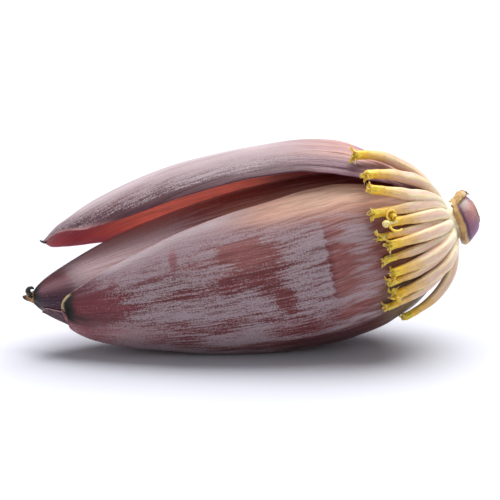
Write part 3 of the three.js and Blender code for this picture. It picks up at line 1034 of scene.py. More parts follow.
@dataclass
class FrontBract(Layer):
    """The big bract that faces the viewer, rubbed in patches, with a blackened, dried tip.

    Attributes:
        rubbed: patches where the bloom is rubbed off.
    """

    rubbed: tuple[Patch, ...] = (
        Patch(-0.50, 0.545, 0.10, 0.043, 0.78, soft=0.2),
        Patch(-0.38, 0.515, 0.12, 0.045, 0.75, soft=0.5),
        Patch(-0.46, 0.66, 0.035, 0.15, 0.38),
        Patch(-0.17, 0.535, 0.12, 0.075, 0.62),
        Patch(-0.14, 0.66, 0.06, 0.06, 0.45),
        Patch(-0.02, 0.498, 0.09, 0.022, 0.5, 0.0, 0.6),
        Patch(0.14, 0.474, 0.15, 0.020, 0.66, -3.2, 0.55),
        Patch(-0.66, 0.672, 0.11, 0.007, 1.1),
        Patch(-0.60, 0.797, 0.16, 0.007, 0.4),
        Patch(0.33, 0.70, 0.09, 0.06, 0.34),
        Patch(0.42, 0.63, 0.08, 0.06, 0.38),
        Patch(0.62, 0.70, 0.14, 0.06, 0.42),
        Patch(0.30, 0.55, 0.05, 0.07, 0.3),
        Patch(0.55, 0.45, 0.06, 0.07, 0.5),
        Patch(0.38, 0.47, 0.05, 0.05, 0.35),
        Patch(0.48, 0.35, 0.08, 0.06, 0.45),
        Patch(0.56, 0.45, 0.10, 0.055, 0.55),
        Patch(0.78, 0.52, 0.08, 0.12, 0.5),
        Patch(-0.30, 0.22, 0.5, 0.06, 0.5),
        Patch(0.5, 0.20, 0.4, 0.07, 0.4),
    )

    def stand_off(self, across: Array, station: Array) -> Array:
        """One layer out at its first edge, over the under bract at its second, swelling at the tip."""
        swell = 3.5 * smoothstep(station, 0.68, 0.88) * smoothstep(across, -0.2, 1.0)
        return (self.gap + self.rib(station)) * (1 + 0.6 * (across + 1)) + swell

    def relief(self, across: Array, station: Array) -> Array:
        """Fine veins everywhere, and folds that run out from the base."""
        u = GRAIN_HALF * across
        veins = 0.07 * Ripples(11, 0.12, 0.55, 18)(u, station)
        folds = 0.45 * Ripples(12, 0.035, 0.16, 10, 1.2, 0.9)(u, station)
        folds = folds * (0.3 + 1.1 * fall(station, 0.14, 0.42))
        slow = 0.35 * Ripples(13, 0.008, 0.03, 6, 2.0, 1.5)(u, station)
        return (veins + folds + slow) * calm_rim(across)

    def texture(self, across: Array, station: Array) -> tuple[Array, Array]:
        """Silky on the shoulder, and speckled rather than streaked at the tip."""
        shoulder = fall(station, 0.34, 0.44) + 0 * across
        tip = smoothstep(station, 0.72, 0.8)
        return 1 - 0.4 * shoulder - 0.6 * tip, 1 - 0.85 * shoulder + 0.55 * tip

    def inset(self, across: Array, station: Array) -> Array:
        """Distance in millimetres from the bract's outline, near its tip."""
        first, second = self.edges(station)
        half = self.half_width(first, second, station)
        return np.minimum((1 - np.abs(across)) * half, (self.tip - station) * 260.0)

    def paint(self, across: Array, station: Array) -> tuple[Array, Array, Array]:
        """Maroon, peach along the upper edge and shoulder, wine red at the tip and black at its end."""
        reach = 0.36 * fall(station, 0.3, 0.8)
        peach = fall(across + 1, reach * 0.55, reach * 1.35 + 0.12) * fall(station, 0.44, 0.66)
        mauve = 0.8 * fall(across + 1, 0.25, 0.7) * (1 - 0.7 * peach)
        edge = 0.812 - 0.05 * bump_at(across, -0.06, 0.28) + 0.035 * smoothstep(-across, 0.4, 0.9)
        edge = edge + 0.022 * Ripples(15, 1.5, 7, 12)(across * 2, station * 5)
        tip = smoothstep(station, edge - 0.05, edge + 0.04)
        pale_side = tip * smoothstep(across, 0.35, 0.8)
        # painted highlight: a misty band along the top-lit upper edge, with more bloom and haze
        upper = 0.9 * bump_at(across, -0.97, 0.13) * plateau(station, 0.47, 0.6, 0.78, 0.85)
        inset = self.inset(across, station) + 0.7 * Ripples(14, 2, 9, 8)(across * 2, station * 3)
        side = fall(across, 0.35, 0.7) * smoothstep(station, 0.868, 0.893)
        reach = 2.5 + 4.5 * smoothstep(across, -0.9, 0.0)
        char = side * fall(inset, reach, reach + 4.5)
        char = np.maximum(char, 0.8 * bump_at(across, 0.19, 0.12) * smoothstep(station, 0.82, 0.885))
        dry = fall(across, 0.1, 0.45) * smoothstep(station, 0.882, 0.894) * fall(inset, 1.1, 1.9)
        lobe = smoothstep(across, 0.3, 0.5) * smoothstep(station, 0.84, 0.875) * fall(inset, 1.5, 9.0)
        pink = bump_at(across, 0.5, 0.24) * bump_at(station, 0.79, 0.07)
        # pale rim along the edge: partly the bract's own pale edge, partly a painted highlight on it
        rim = rim_cover(across, 0.03) * smoothstep(station, 0.3, 0.5)
        behind = 0.378 - station + 0.004 * Ripples(16, 2, 12, 9)(across * 4, station)
        worn = plateau(behind, 0.0, 0.005, 0.02, 0.1)
        worn = worn * fall(np.abs(across + 0.14), 0.3, 0.5)
        upset = plateau(-across, 0.15, 0.35, 0.55, 0.75) * bump_at(station, 0.54, 0.1)
        silk = Ripples(17, 0.09, 0.32, 12, 5.0, 2.0)(GRAIN_HALF * across, station) * fall(station, 0.36, 0.46)
        shoulder = fall(station, 0.17, 0.26)
        # painted light: a pale cream coat along the upper edge of the shoulder, brightening it where the
        # lifted bract shades it
        glow = fall(across + 1, 0.1, 0.4) * bump_at(station, 0.26, 0.16)
        first, second = self.edges(station)
        azimuth = mix(first, second, (across + 1) / 2)
        olive = smoothstep(azimuth, 103.0, 106.0) * fall(station, 0.22, 0.32)
        # painted shade: the underside near the floor darkened to wine and char, with its bloom taken off
        belly = smoothstep(across, 0.62, 0.86) * bump_at(station, 0.38, 0.16)
        pigment = tinted(
            Pigment.MAROON,
            across,
            (0.85 * smoothstep(behind, 0.0, 0.02) * fall(np.abs(across), 0.35, 0.8), Pigment.RUSSET),
            (0.8 * shoulder, Pigment.TAN),
            (mauve, Pigment.MAUVE),
            (peach, Pigment.PEACH),
            (0.5 * peach * smoothstep(behind, 0.0, 0.1), Pigment.TAN),
            (0.75 * upset, Pigment.RUSSET),
            (0.7 * glow, Pigment.PAINTED_LIGHT_CREAM),
            (0.9 * upper, Pigment.MIST),
            (0.85 * tip, Pigment.DUSK),
            (0.25 * tip * bump_at(across, -0.3, 0.4), Pigment.CRIMSON),
            (0.75 * pale_side, Pigment.GARNET),
            (0.5 * lobe, Pigment.ROSE),
            (0.55 * pink, Pigment.ROSE),
            (0.6 * rim, Pigment.PALE_RIM_AND_HIGHLIGHT),
            (0.8 * belly, Pigment.WINE),
            (0.35 * belly, Pigment.CHAR),
            (0.8 * olive, Pigment.OLIVE),
            (char, Pigment.CHAR),
            (dry, Pigment.DRY),
        )
        bloom = 0.76 - covered(self.rubbed, across, station) - 0.5 * peach - 0.5 * tip + 0.1 * pale_side
        bloom = bloom + 0.4 * upper - 0.4 * rim + 0.12 * smoothstep(across, 0.45, 0.8) - 0.7 * shoulder
        bloom = bloom - 0.55 * worn + 0.26 * silk - 0.12 * smoothstep(behind, 0.0, 0.03)
        bloom = bloom - 0.9 * belly - 0.5 * olive
        bloom = bloom + 0.45 * bump_at(across, -0.35, 0.12) * bump_at(station, 0.31, 0.06) + 0.35 * pink
        bloom = np.clip(bloom - 0.3 * tip * (1 - pale_side), BARE, 1)
        haze = np.clip(0.8 * peach + 0.2 * mauve + 0.6 * upper + 0.25 * tip + 0.4 * pink, 0, 1)
        return pigment, mix(bloom, -0.5, np.maximum(char, dry)), haze

    def line(self, across: Array, station: Array) -> Array:
        """Brick red."""
        return tinted(Pigment.CRIMSON, across, (0.6 + 0 * across, Pigment.BRICK))


@dataclass
class UnderBract(Layer):
    """The bract that the blossom lies on, olive brown where it comes out behind the front one."""

    def stand_off(self, across: Array, station: Array) -> Array:
        """Close on the bud, closest at the tip."""
        return (2.2 * self.gap + self.rib(station)) * (1 - 0.6 * smoothstep(station, 0.84, 0.93))

    def relief(self, across: Array, station: Array) -> Array:
        """Fine veins."""
        u = 70.0 * across
        veins = 0.08 * Ripples(21, 0.12, 0.5, 16)(u, station)
        slow = 0.25 * Ripples(22, 0.01, 0.05, 6, 2.0, 1.5)(u, station)
        return (veins + slow - 0.15) * calm_rim(across)

    def paint(self, across: Array, station: Array) -> tuple[Array, Array, Array]:
        """Maroon with an olive shoulder and a pale pink rim."""
        olive = fall(station, 0.16, 0.36)
        rim = rim_cover(across, 0.03)
        tip = smoothstep(station, 0.87, 0.91)
        pigment = tinted(
            Pigment.MAROON,
            across,
            (olive, Pigment.OLIVE),
            (0.7 * tip, Pigment.PLUM),
            (0.7 * rim, Pigment.PALE_RIM_AND_HIGHLIGHT),
        )
        # less bloom on the near side, by the floor: partly barer skin, partly painted shade
        near = fall(across, -0.5, 0.2)
        bloom = 0.7 - 0.35 * olive - 0.5 * rim - 0.3 * tip - 0.3 * near
        return pigment, bloom, 0.5 * olive

    def line(self, across: Array, station: Array) -> Array:
        """Brick red."""
        return tinted(Pigment.CRIMSON, across)


@dataclass
class TopBract(Layer):
    """The bract that lifts away from the bud and shows its red lining.

    Attributes:
        lift: how far it stands off at each station, in millimetres.
        lean: degrees off the upright that it lifts away, to the far side.
        rubbed: patches where the bloom is rubbed off.
    """

    lift: Knots = (
        (0, 0), (0.08, 0), (0.15, 2.0), (0.2, 6.3), (0.25, 10.6), (0.31, 14.7), (0.4, 18.2), (0.55, 21.5),
        (0.7, 24.5), (0.82, 25.5), (0.9, 24), (0.945, 20),
    )  # fmt: skip
    lean: float = 25.0
    rubbed: tuple[Patch, ...] = (
        Patch(0.78, 0.80, 0.17, 0.075, 0.5, soft=0.7),
        Patch(0.82, 0.71, 0.10, 0.055, 0.42, soft=0.7),
        Patch(0.62, 0.74, 0.10, 0.04, 0.36, soft=0.8),
        Patch(0.90, 0.61, 0.05, 0.06, 0.3, soft=0.8),
        Patch(0.45, 0.6, 0.05, 0.09, 0.3),
        Patch(-0.4, 0.52, 0.14, 0.06, 0.7, 0.6, 0.3),
        Patch(-0.28, 0.6, 0.05, 0.12, 0.5),
        Patch(-0.12, 0.7, 0.1, 0.05, 0.6),
        Patch(0.05, 0.55, 0.05, 0.1, 0.45),
        Patch(-0.65, 0.68, 0.12, 0.08, 0.7, -0.8, 0.4),
        Patch(-0.6, 0.44, 0.2, 0.03, 0.6, 0.0, 0.4),
        Patch(-0.85, 0.55, 0.08, 0.2, 0.5),
    )

    def stand_off(self, across: Array, station: Array) -> Array:
        """Two layers out."""
        return 2 * (self.gap + self.rib(station))

    def move(self, station: Array) -> Array:
        """Lifted straight up and leaning away to the far side."""
        lean = math.radians(self.lean)
        way = np.array([0.0, math.sin(lean), math.cos(lean)])
        return through(self.lift, station)[..., None] * way

    def relief(self, across: Array, station: Array) -> Array:
        """Strong lengthwise folds at the base, fading to fine veins."""
        u = 66.0 * across
        veins = 0.07 * Ripples(31, 0.12, 0.55, 18)(u, station)
        base = fall(station, 0.2, 0.5)
        folds = (0.12 + 0.75 * base) * Ripples(32, 0.1, 0.24, 10, 1.0, 0.5)(u, station)
        slow = 0.4 * Ripples(33, 0.008, 0.03, 6, 2.0, 1.4)(u, station)
        return (veins + folds + slow) * calm_rim(across)

    def paint(self, across: Array, station: Array) -> tuple[Array, Array, Array]:
        """Maroon, striped pink and mauve at the base, with painted shade on the near edge, a painted
        highlight on top and a pink rim at the tip.
        """
        stripes = np.clip(0.5 + 0.6 * Ripples(34, 0.08, 0.26, 9, 1.0, 0.6)(66.0 * across, station), 0, 1)
        ragged = 0.05 * Ripples(35, 0.1, 0.5, 12, 1.5, 1.0)(66.0 * across, station)
        base = fall(station + ragged, 0.2, 0.54)
        # painted shade: plum and less bloom towards the near edge, where the leaf turns away from the light
        low = smoothstep(across, 0.5, 0.9)
        rim = rim_cover(across, 0.08) * smoothstep(station, 0.76, 0.86)
        # painted shade: the rolled-under near edge darkened to wine and plum, its bloom taken off
        dark = smoothstep(across, 0.88, 0.96) * plateau(station, 0.34, 0.42, 0.74, 0.84)
        violet = smoothstep(across, 0.6, 0.9) * bump_at(station, 0.29, 0.08)
        char = smoothstep(station, 0.9385, 0.943)
        pigment = tinted(
            Pigment.MAROON,
            across,
            (0.9 * base, Pigment.ROSE),
            (0.85 * base * stripes * (1 - 0.5 * low), Pigment.BLUSH),
            (0.4 * base * (1 - stripes) * smoothstep(across, 0.2, 0.6), Pigment.VIOLET),
            (0.6 * violet, Pigment.VIOLET),
            (0.7 * low * (1 - 0.4 * base), Pigment.PLUM),
            (dark, Pigment.WINE),
            (0.5 * dark, Pigment.PLUM),
            (0.6 * base * bump_at(across, 0.68, 0.09), Pigment.BLUSH),
            (rim, Pigment.ROSE),
            (char, Pigment.CHAR),
        )
        bare = covered(self.rubbed, across, station)
        # painted highlight: the top of the leaf, where the light falls, mixed towards pale mist and hazed
        high = (1 - bare) * bump_at(across, 0.36, 0.34) * plateau(station, 0.3, 0.5, 0.84, 0.93)
        bloom = 1.1 - 0.22 * smoothstep(-across, -0.3, 0.1)
        bloom = bloom - (0.7 + 0.3 * smoothstep(across, -0.1, 0.3)) * base - 0.9 * bare - 0.4 * low - rim
        haze = 0.6 * base + 0.6 * high
        bloom = np.clip(bloom - 1.1 * dark, -0.4, 1) * (1 - char)
        return mix(pigment, Pigment.MIST.rgb, 0.78 * high[..., None]), bloom, haze

    def texture(self, across: Array, station: Array) -> tuple[Array, Array]:
        """Speckled where it is rubbed near the tip."""
        bare = covered(self.rubbed, across, station) * smoothstep(station, 0.5, 0.64)
        plain, fine = super().texture(across, station)
        return plain - 0.2 * bare, fine + 0.9 * bare

    def line(self, across: Array, station: Array) -> Array:
        """Brick red in the middle, crimson at the tip, with painted shade towards the base, and violet on the
        far edge.
        """
        far = fall(across + 1, 0.0, 0.16)
        return tinted(
            Pigment.BRICK,
            across,
            (smoothstep(station, 0.68, 0.88), Pigment.FLUSH),
            # painted shade: the lining darkened to oxblood and crimson towards the base, deep under the
            # lifted leaf
            (fall(station, 0.3, 0.56), Pigment.OXBLOOD),
            (0.75 * fall(station, 0.3, 0.5), Pigment.CRIMSON),
            (rim_cover(across, 0.12) * smoothstep(station, 0.7, 0.85) * (1 - far), Pigment.ROSE),
            (0.7 * far, Pigment.VIOLET),
        )


@dataclass
class BudHeart:
    """The closed bud inside, itself a roll of tight bracts whose edges show as low steps.

    Attributes:
        form: its centre line and radii.
        floor: height of its flattened belly.
        rows: rings along it.
        sides: points round it.
        step: height of the overlapping edges.
        streaked: strength of the streaks in its bloom.
        speckled: strength of the speckle in its bloom.
    """

    form: BudForm
    floor: float = 2.8
    rows: int = 260
    sides: int = 220
    step: float = 0.7
    streaked: float = 1.3
    speckled: float = 0.9

    def roll(self, azimuth: Array, station: Array) -> Array:
        """Height of the roll: a saw-tooth that climbs from each edge to the next and then drops."""
        total = np.zeros(np.broadcast(azimuth, station).shape)
        for start, drift, span in ((66.0, 34.0, 150.0), (216.0, -20.0, 120.0), (336.0, 12.0, 90.0)):
            edge = start + drift * (station - 0.6)
            past = (azimuth - edge) % 360.0
            total += self.step * np.where(past < span, (1 - past / span) * smoothstep(past, 0, 1.7), 0.0)
        return total * plateau(station, 0.1, 0.3, 0.93, 0.97)

    def shape(self) -> Shape:
        """Rings round the centre line, radius = bud radius + roll + veins."""
        k = np.linspace(0, 1, self.rows)[:, None]
        station = self.form.end * (1 - (1 - k) ** 1.5)
        azimuth = -360.0 * np.arange(self.sides)[None, :] / self.sides
        turned = np.radians(azimuth)
        whole = np.cos(turned) * 8.0 + np.sin(turned) * 5.0
        veins = 0.06 * Ripples(41, 0.5, 3.0, 14)(whole, station)
        veins = veins + 0.25 * Ripples(42, 0.03, 0.2, 8)(whole, station)
        pucker = 0.45 * smoothstep(station, 0.92, 0.97) * np.sin(9 * turned + 3 * np.sin(2 * turned))
        radius = self.form.radius(station, azimuth) + self.roll(azimuth % 360, station) - 0.5
        radius = radius + veins * smoothstep(station, 0.0, 0.1) + pucker * smoothstep(radius, 1.0, 6.0)
        points = self.form.point(station + 0 * azimuth, azimuth + 0 * station, radius)
        points[..., 2] = np.maximum(points[..., 2], self.floor)
        pigment, bloom, haze = self.paint((azimuth % 360) + 0 * station, station + 0 * azimuth)
        grain = np.stack(
            np.broadcast_arrays(0.05 * np.cos(turned), GRAIN_LENGTH * station, 0.05 * np.sin(turned)), -1
        )
        streaked, speckled = np.full(bloom.shape, self.streaked), np.full(bloom.shape, self.speckled)
        return closed_tube(
            points, grain=grain, pigment=pigment, bloom=bloom, haze=haze, streaked=streaked, speckled=speckled
        )

    def paint(self, azimuth: Array, station: Array) -> tuple[Array, Array, Array]:
        """Wine under the lifted bract, tan and mauve beside the front one, green black at the end."""
        signed = (azimuth + 180) % 360 - 180
        lit = fall(np.abs(signed), 30.0, 75.0)
        front = plateau(azimuth, 4.0, 30.0, 60.0, 90.0)
        warm = front * plateau(station, 0.3, 0.36, 0.5, 0.68)
        wide = fall(np.abs((azimuth + 140) % 360 - 180), 42.0, 62.0)
        dusty = wide * plateau(station, 0.52, 0.66, 0.8, 0.88)
        blush = bump_at(azimuth, 50.0, 17.0) * smoothstep(station, 0.86, 0.9)
        # painted highlight: a pale, waxier patch near the tip where the light catches the bud
        sheen = bump_at(azimuth + 60 * (station - 0.84), 42.0, 34.0) * smoothstep(station, 0.68, 0.82)
        sheen = sheen * fall(station, 0.855, 0.9)
        frost = plateau(signed, -8.0, 14.0, 60.0, 90.0) * smoothstep(station, 0.6, 0.72)
        frost = frost * fall(station + 0.0006 * signed, 0.85, 0.93)
        stripes = np.clip(0.5 + 0.7 * Ripples(44, 0.16, 0.6, 12, 2.0, 0.8)(azimuth * 0.85, station), 0, 1)
        edge = bump_at(azimuth, 12.0, 12.0) * bump_at(station, 0.6, 0.25)
        turned = np.radians(azimuth)
        mottle = 0.008 * Ripples(43, 2, 9, 10)(np.cos(turned) * 2, np.sin(turned) + station * 4)
        end = smoothstep(station + mottle, 0.952, 0.968)
        below = smoothstep(azimuth, 118.0, 135.0)
        pigment = tinted(
            Pigment.WINE,
            azimuth,
            (0.7 * lit * fall(station, 0.6, 0.75), Pigment.OXBLOOD),
            (0.75 * warm, Pigment.TAN),
            (0.7 * dusty, Pigment.MAUVE),
            (0.6 * np.maximum(front, dusty) * stripes * fall(station, 0.84, 0.88), Pigment.ROSE),
            (0.75 * blush, Pigment.MAUVE),
            (0.6 * sheen, Pigment.PALE_RIM_AND_HIGHLIGHT),
            (0.6 * frost, Pigment.MIST),
            (0.6 * frost * stripes, Pigment.ROSE),
            (0.6 * edge, Pigment.OXBLOOD),
            (bump_at(azimuth, 96.0, 34.0) * smoothstep(station, 0.82, 0.88), Pigment.PLUM),
            (end, Pigment.CHAR),
        )
        bloom = -0.2 + 0.55 * dusty + 0.3 * warm + 1.2 * sheen + 0.9 * below + 0.95 * frost
        bloom = bloom + 0.4 * (stripes - 0.5)
        bloom = np.clip(mix(bloom, -0.4, end) - 0.2 * blush, BARE, 1)
        haze = np.clip(0.5 * warm + 0.3 * dusty + 0.5 * sheen + 0.45 * frost, 0, 1)
        return pigment, bloom, haze


@dataclass
class Wrapping:
    """The bud and its three bracts, dressed.

    Attributes:
        form: the closed bud that they wrap.
        skin: material of the outer faces.
        lining: material of the inner faces.
    """

    form: BudForm
    skin: BloomedSkin = BloomedSkin("bloomed_skin")
    lining: Lining = Lining()

    def layers(self) -> tuple[tuple[Layer, str, Slot, str], ...]:
        """Each bract with its piece name, record slot and CAD node."""
        front = FrontBract(
            self.form,
            0.91,
            (
                (0.03, 62), (0.09, 45), (0.16, 34), (0.21, 31.5), (0.26, 28), (0.33, 24.5), (0.38, 26),
                (0.47, 30), (0.57, 32.5), (0.71, 41.5), (0.82, 55), (0.86, 65), (0.89, 75), (0.903, 84),
                (0.91, 95),
            ),
            (
                (0.03, 116), (0.1, 130), (0.2, 136), (0.27, 145), (0.4, 152), (0.6, 153), (0.75, 152),
                (0.81, 150), (0.85, 147), (0.88, 139), (0.896, 130), (0.9, 117), (0.904, 112), (0.91, 99),
            ),
        )  # fmt: skip
        under = UnderBract(
            self.form,
            0.957,
            (
                (0.03, 128), (0.1, 124), (0.2, 126), (0.6, 132), (0.8, 130), (0.87, 120), (0.91, 112),
                (0.94, 113), (0.952, 124), (0.957, 150),
            ),
            (
                (0.03, 275), (0.1, 278), (0.3, 284), (0.6, 284), (0.82, 280), (0.88, 268), (0.92, 246),
                (0.94, 220), (0.952, 190), (0.957, 158),
            ),
        )  # fmt: skip
        top = TopBract(
            self.form,
            0.945,
            (
                (0.03, -78), (0.1, -84), (0.3, -92), (0.6, -95), (0.8, -95), (0.85, -93), (0.88, -90),
                (0.907, -84), (0.926, -73), (0.937, -55), (0.942, -36), (0.945, -17),
            ),
            (
                (0.03, 23), (0.1, 31), (0.18, 37), (0.26, 42), (0.3, 42), (0.35, 39.5), (0.42, 37),
                (0.52, 37.5), (0.6, 39.5), (0.69, 44), (0.79, 48), (0.84, 46.5), (0.89, 32), (0.92, 20),
                (0.937, 8), (0.945, -13),
            ),
        )  # fmt: skip
        return (
            (front, "front_bract", Slot.FRONT, "bract_front"),
            (under, "under_bract", Slot.UNDER, "bract_under"),
            (top, "lifted_bract", Slot.TOP, "bract_top"),
        )

    def build(self) -> None:
        """Makes the bud and the bracts."""
        skin, lining = self.skin.material(), self.lining.material()
        heart = BudHeart(self.form).shape().build("bud", [skin])
        hand_over(heart, Slot.BUD, "bud_heart")
        for layer, name, slot, node in self.layers():
            hand_over(layer.leaf().build(name, [skin, lining]), slot, node)


# ---- Florets ----------------------------------------------------------------------------------


class Row(Enum):
    """Where a floret lies in the hand."""

    FRONT = "front"
    BACK = "back"
    HANGING = "hanging"


@dataclass(frozen=True)
class Floret:
    """One floret of the hand.

    Attributes:
        tip: station of its tip.
        azimuth: azimuth of its tip.
        base: azimuth of its base.
        turn: how early it swings from one to the other.
        row: the row that it lies in.
        lifted: true if it lies on the lifted bract.
        lobe: length of its longest tepal lobe in millimetres.
        curl: how far the lobes curl back, in radians.
    """

    tip: float
    azimuth: float
    base: float
    turn: float
    row: Row
    lifted: bool = False
    lobe: float = 5.5
    curl: float = 1.6


@dataclass
class Path:
    """Centre line of a floret with its frames.

    Attributes:
        share: share of the length, from 0 at the neck to 1 at the tip.
        point: points in millimetres.
        along: unit tangents.
        out: unit vectors away from the bud.
        side: unit vectors across.
    """

    share: Array
    point: Array
    along: Array
    out: Array
    side: Array

    @classmethod
    def over(cls, share: Array, point: Array, hint: Array) -> "Path":
        """Frames by the tangent of the points and a hint of the outward way."""
        along = unit(np.gradient(point, axis=0))
        out = unit(hint - along * np.sum(hint * along, -1, keepdims=True))
        return cls(share, point, along, out, np.cross(along, out))

    def at(self, share: Array) -> tuple[Array, Array, Array, Array]:
        """Point, tangent, outward and sideways vectors read between the samples."""

        def read(block: Array) -> Array:
            """One of the samples' vectors at each share."""
            return np.stack([np.interp(share, self.share, block[:, i]) for i in range(3)], -1)

        return read(self.point), unit(read(self.along)), unit(read(self.out)), unit(read(self.side))

    @property
    def length(self) -> float:
        """Length in millimetres."""
        return float(np.sum(np.linalg.norm(np.diff(self.point, axis=0), axis=1)))


def thread(points: Array, radii: Array, sides: int = 7, seed: int = 0, rough: float = 0.0) -> Shape:
    """A thin closed tube along a line of points.

    Args:
        points: the line, one point a row.
        radii: radius at each point.
        sides: corners of its section.
        seed: start of the random draw for its roughness.
        rough: share by which its radius varies.

    Returns:
        The shape, whose only marks are grain and those that the caller adds.
    """
    along = unit(np.gradient(points, axis=0))
    hint = np.array([0.31, -0.52, 0.79])
    out = unit(hint - along * (along @ hint)[:, None])
    side = np.cross(along, out)
    angle = circle(sides)
    scale = 1 + rough * np.random.default_rng(seed).uniform(-1, 1, (len(points), sides))
    r = (radii[:, None] * scale)[..., None]
    rings = points[:, None] + spokes(out[:, None], side[:, None], angle) * r
    run = np.concatenate([[0], np.cumsum(np.linalg.norm(np.diff(points, axis=0), axis=1))])
    return closed_tube(rings, grain=round_grain(1.0, run[:, None], angle))


@dataclass
class FloretHand:
    """The hand of florets: ridged ovaries, each with curled yellow tepals at its mouth.

    Attributes:
        form: the bud that they lie on.
        base_station: station where the bases stand, in the front and back rows.
        full: radius of an ovary where it is thickest, row by row.
        front: the bract that most of them lie on.
        lifted: the bract that the others lie on.
        taper: share of the full radius at each share of the length.
        swell: share of the radius at each share of the tepals' tube.
        rise: how far the front row lies on the back row.
        ovary_share: share of the length that is ovary.
        mouth: share where the tepals part.
        layer: room that one bract takes.
        gap: room between pieces.
        rings: rings along an ovary.
        sides: points round an ovary.
        flesh: material of the ovaries.
        tepal: material of the tepals and the stigma.
        florets: every floret but the last, in order.
        hanging: line of the last floret, which hangs free, in millimetres.
    """

    form: BudForm
    front: Layer
    lifted: TopBract
    base_station: dict[Row, float] = field(default_factory=lambda: {Row.FRONT: -0.006, Row.BACK: 0.04})
    full: dict[Row, float] = field(
        default_factory=lambda: {Row.FRONT: 3.95, Row.BACK: 3.0, Row.HANGING: 3.4}
    )
    taper: Knots = ((-0.09, 0.66), (0.06, 0.7), (0.2, 0.86), (0.42, 1.0), (0.6, 0.93), (0.8, 0.7), (1, 0.66))
    swell: Knots = ((0, 0.96), (0.15, 1.05), (0.5, 0.98), (0.85, 0.98), (1, 1.02))
    rise: float = 1.6
    ovary_share: float = 0.8
    mouth: float = 0.89
    layer: float = 2.6
    gap: float = 0.4
    rings: int = 84
    sides: int = 32
    flesh: FloretFlesh = FloretFlesh()
    tepal: TepalFlesh = TepalFlesh()
    florets: tuple[Floret, ...] = (
        Floret(0.31, 33, -14, 1.1, Row.FRONT, True, 6.5, 1.5),
        Floret(0.294, 46, 6, 1.3, Row.FRONT, True, 5.5, 1.6),
        Floret(0.294, 54.3, 31, 2, Row.FRONT, True, 5.5, 1.3),
        Floret(0.288, 57, 34, 3, Row.FRONT, False, 8.0, 1.6),
        Floret(0.247, 64.5, 56, 3, Row.FRONT, False, 8.5, 5.2),
        Floret(0.276, 72.4, 70, 3, Row.BACK, False, 8.0, 1.4),
        Floret(0.267, 78.5, 80, 3, Row.FRONT, False, 6.0, 1.6),
        Floret(0.276, 87, 91, 3, Row.BACK, False, 6.0, 1.3),
        Floret(0.273, 96, 103, 3, Row.FRONT, False, 6.5, 3.2),
        Floret(0.276, 103, 109, 3, Row.BACK, False, 6.5, 2.2),
        Floret(0.28, 111.3, 128, 3, Row.FRONT, False, 6.5, 3.2),
        Floret(0.294, 120.5, 128, 3, Row.BACK, False, 6.0, 1.8),
        Floret(0.22, -40, -38, 3, Row.FRONT, True),
        Floret(0.23, -54, -50, 3, Row.BACK, True),
        Floret(0.21, -68, -64, 3, Row.FRONT, True),
    )
    hanging: tuple[tuple[float, float, float], ...] = (
        (128.5, -6.2, 66.7), (128.8, -11.6, 61.8), (127.6, -17.2, 53.6), (122.8, -22.4, 43.4),
        (113, -27.4, 33.4), (100, -31.8, 26.2), (87, -34.8, 21.6),
    )  # fmt: skip

    def radius(self, row: Row, share: Array) -> Array:
        """Radius along a floret: full at two fifths, two thirds at the mouth."""
        return self.full[row] * through(self.taper, share)

    def bed(self, station: Array, azimuth: Array, lifted: bool) -> Array:
        """Point of the surface that a floret lies on: the bud plus the bracts over it there."""
        if lifted:
            cover = 2 * self.layer
        else:
            first, second = through(self.front.first, station), through(self.front.second, station)
            across = np.clip(2 * (azimuth - first) / (second - first) - 1, -1, 1)
            cover = self.layer * (1 + 0.6 * (across + 1))
        radius = self.form.radius(station, azimuth) + cover * smoothstep(station, -0.03, 0.03)
        point = self.form.point(station, azimuth, radius)
        return point + self.lifted.move(station) if lifted else point

    def path(self, floret: Floret, count: int = 150) -> Path:
        """Centre line of a floret over the shoulder.

        At each share of its length the station runs evenly from base to tip, the azimuth is
        the tip's plus (base - tip)(1 - share)^turn, and the height over the bed is the radius,
        the gap and, in the front row, the rise. The base dips into the neck.

        Args:
            floret: the floret.
            count: how many samples.

        Returns:
            Its path from inside the neck to its tip.
        """
        share = np.linspace(-0.09, 1.0, count)
        start = self.base_station[floret.row]
        station = start + (floret.tip - start) * share
        azimuth = floret.azimuth + (floret.base - floret.azimuth) * (1 - share) ** floret.turn
        ahead = self.bed(station + 0.005, azimuth, floret.lifted)
        behind = self.bed(station - 0.005, azimuth, floret.lifted)
        left = self.bed(station, azimuth + 1, floret.lifted)
        right = self.bed(station, azimuth - 1, floret.lifted)
        out = unit(np.cross(ahead - behind, left - right))
        rise = self.rise * smoothstep(share, 0.05, 0.45) if floret.row is Row.FRONT else 0.0
        height = 0.86 * self.full[floret.row] * smoothstep(share, -0.3, 0.45) + self.gap + rise
        height = height * mix(0.1, 1.0, smoothstep(share, -0.09, 0.12))
        point = self.bed(station, azimuth, floret.lifted) + out * height[:, None]
        return Path.over(share, point, out)

    def hanging_path(self, count: int = 150) -> Path:
        """Centre line of the floret that hangs free below the shoulder."""
        point = chain(self.hanging, count)
        hint = np.broadcast_to(np.array([0.45, -0.85, 0.1]), point.shape)
        return Path.over(np.linspace(0.0, 1.0, count), point, hint)

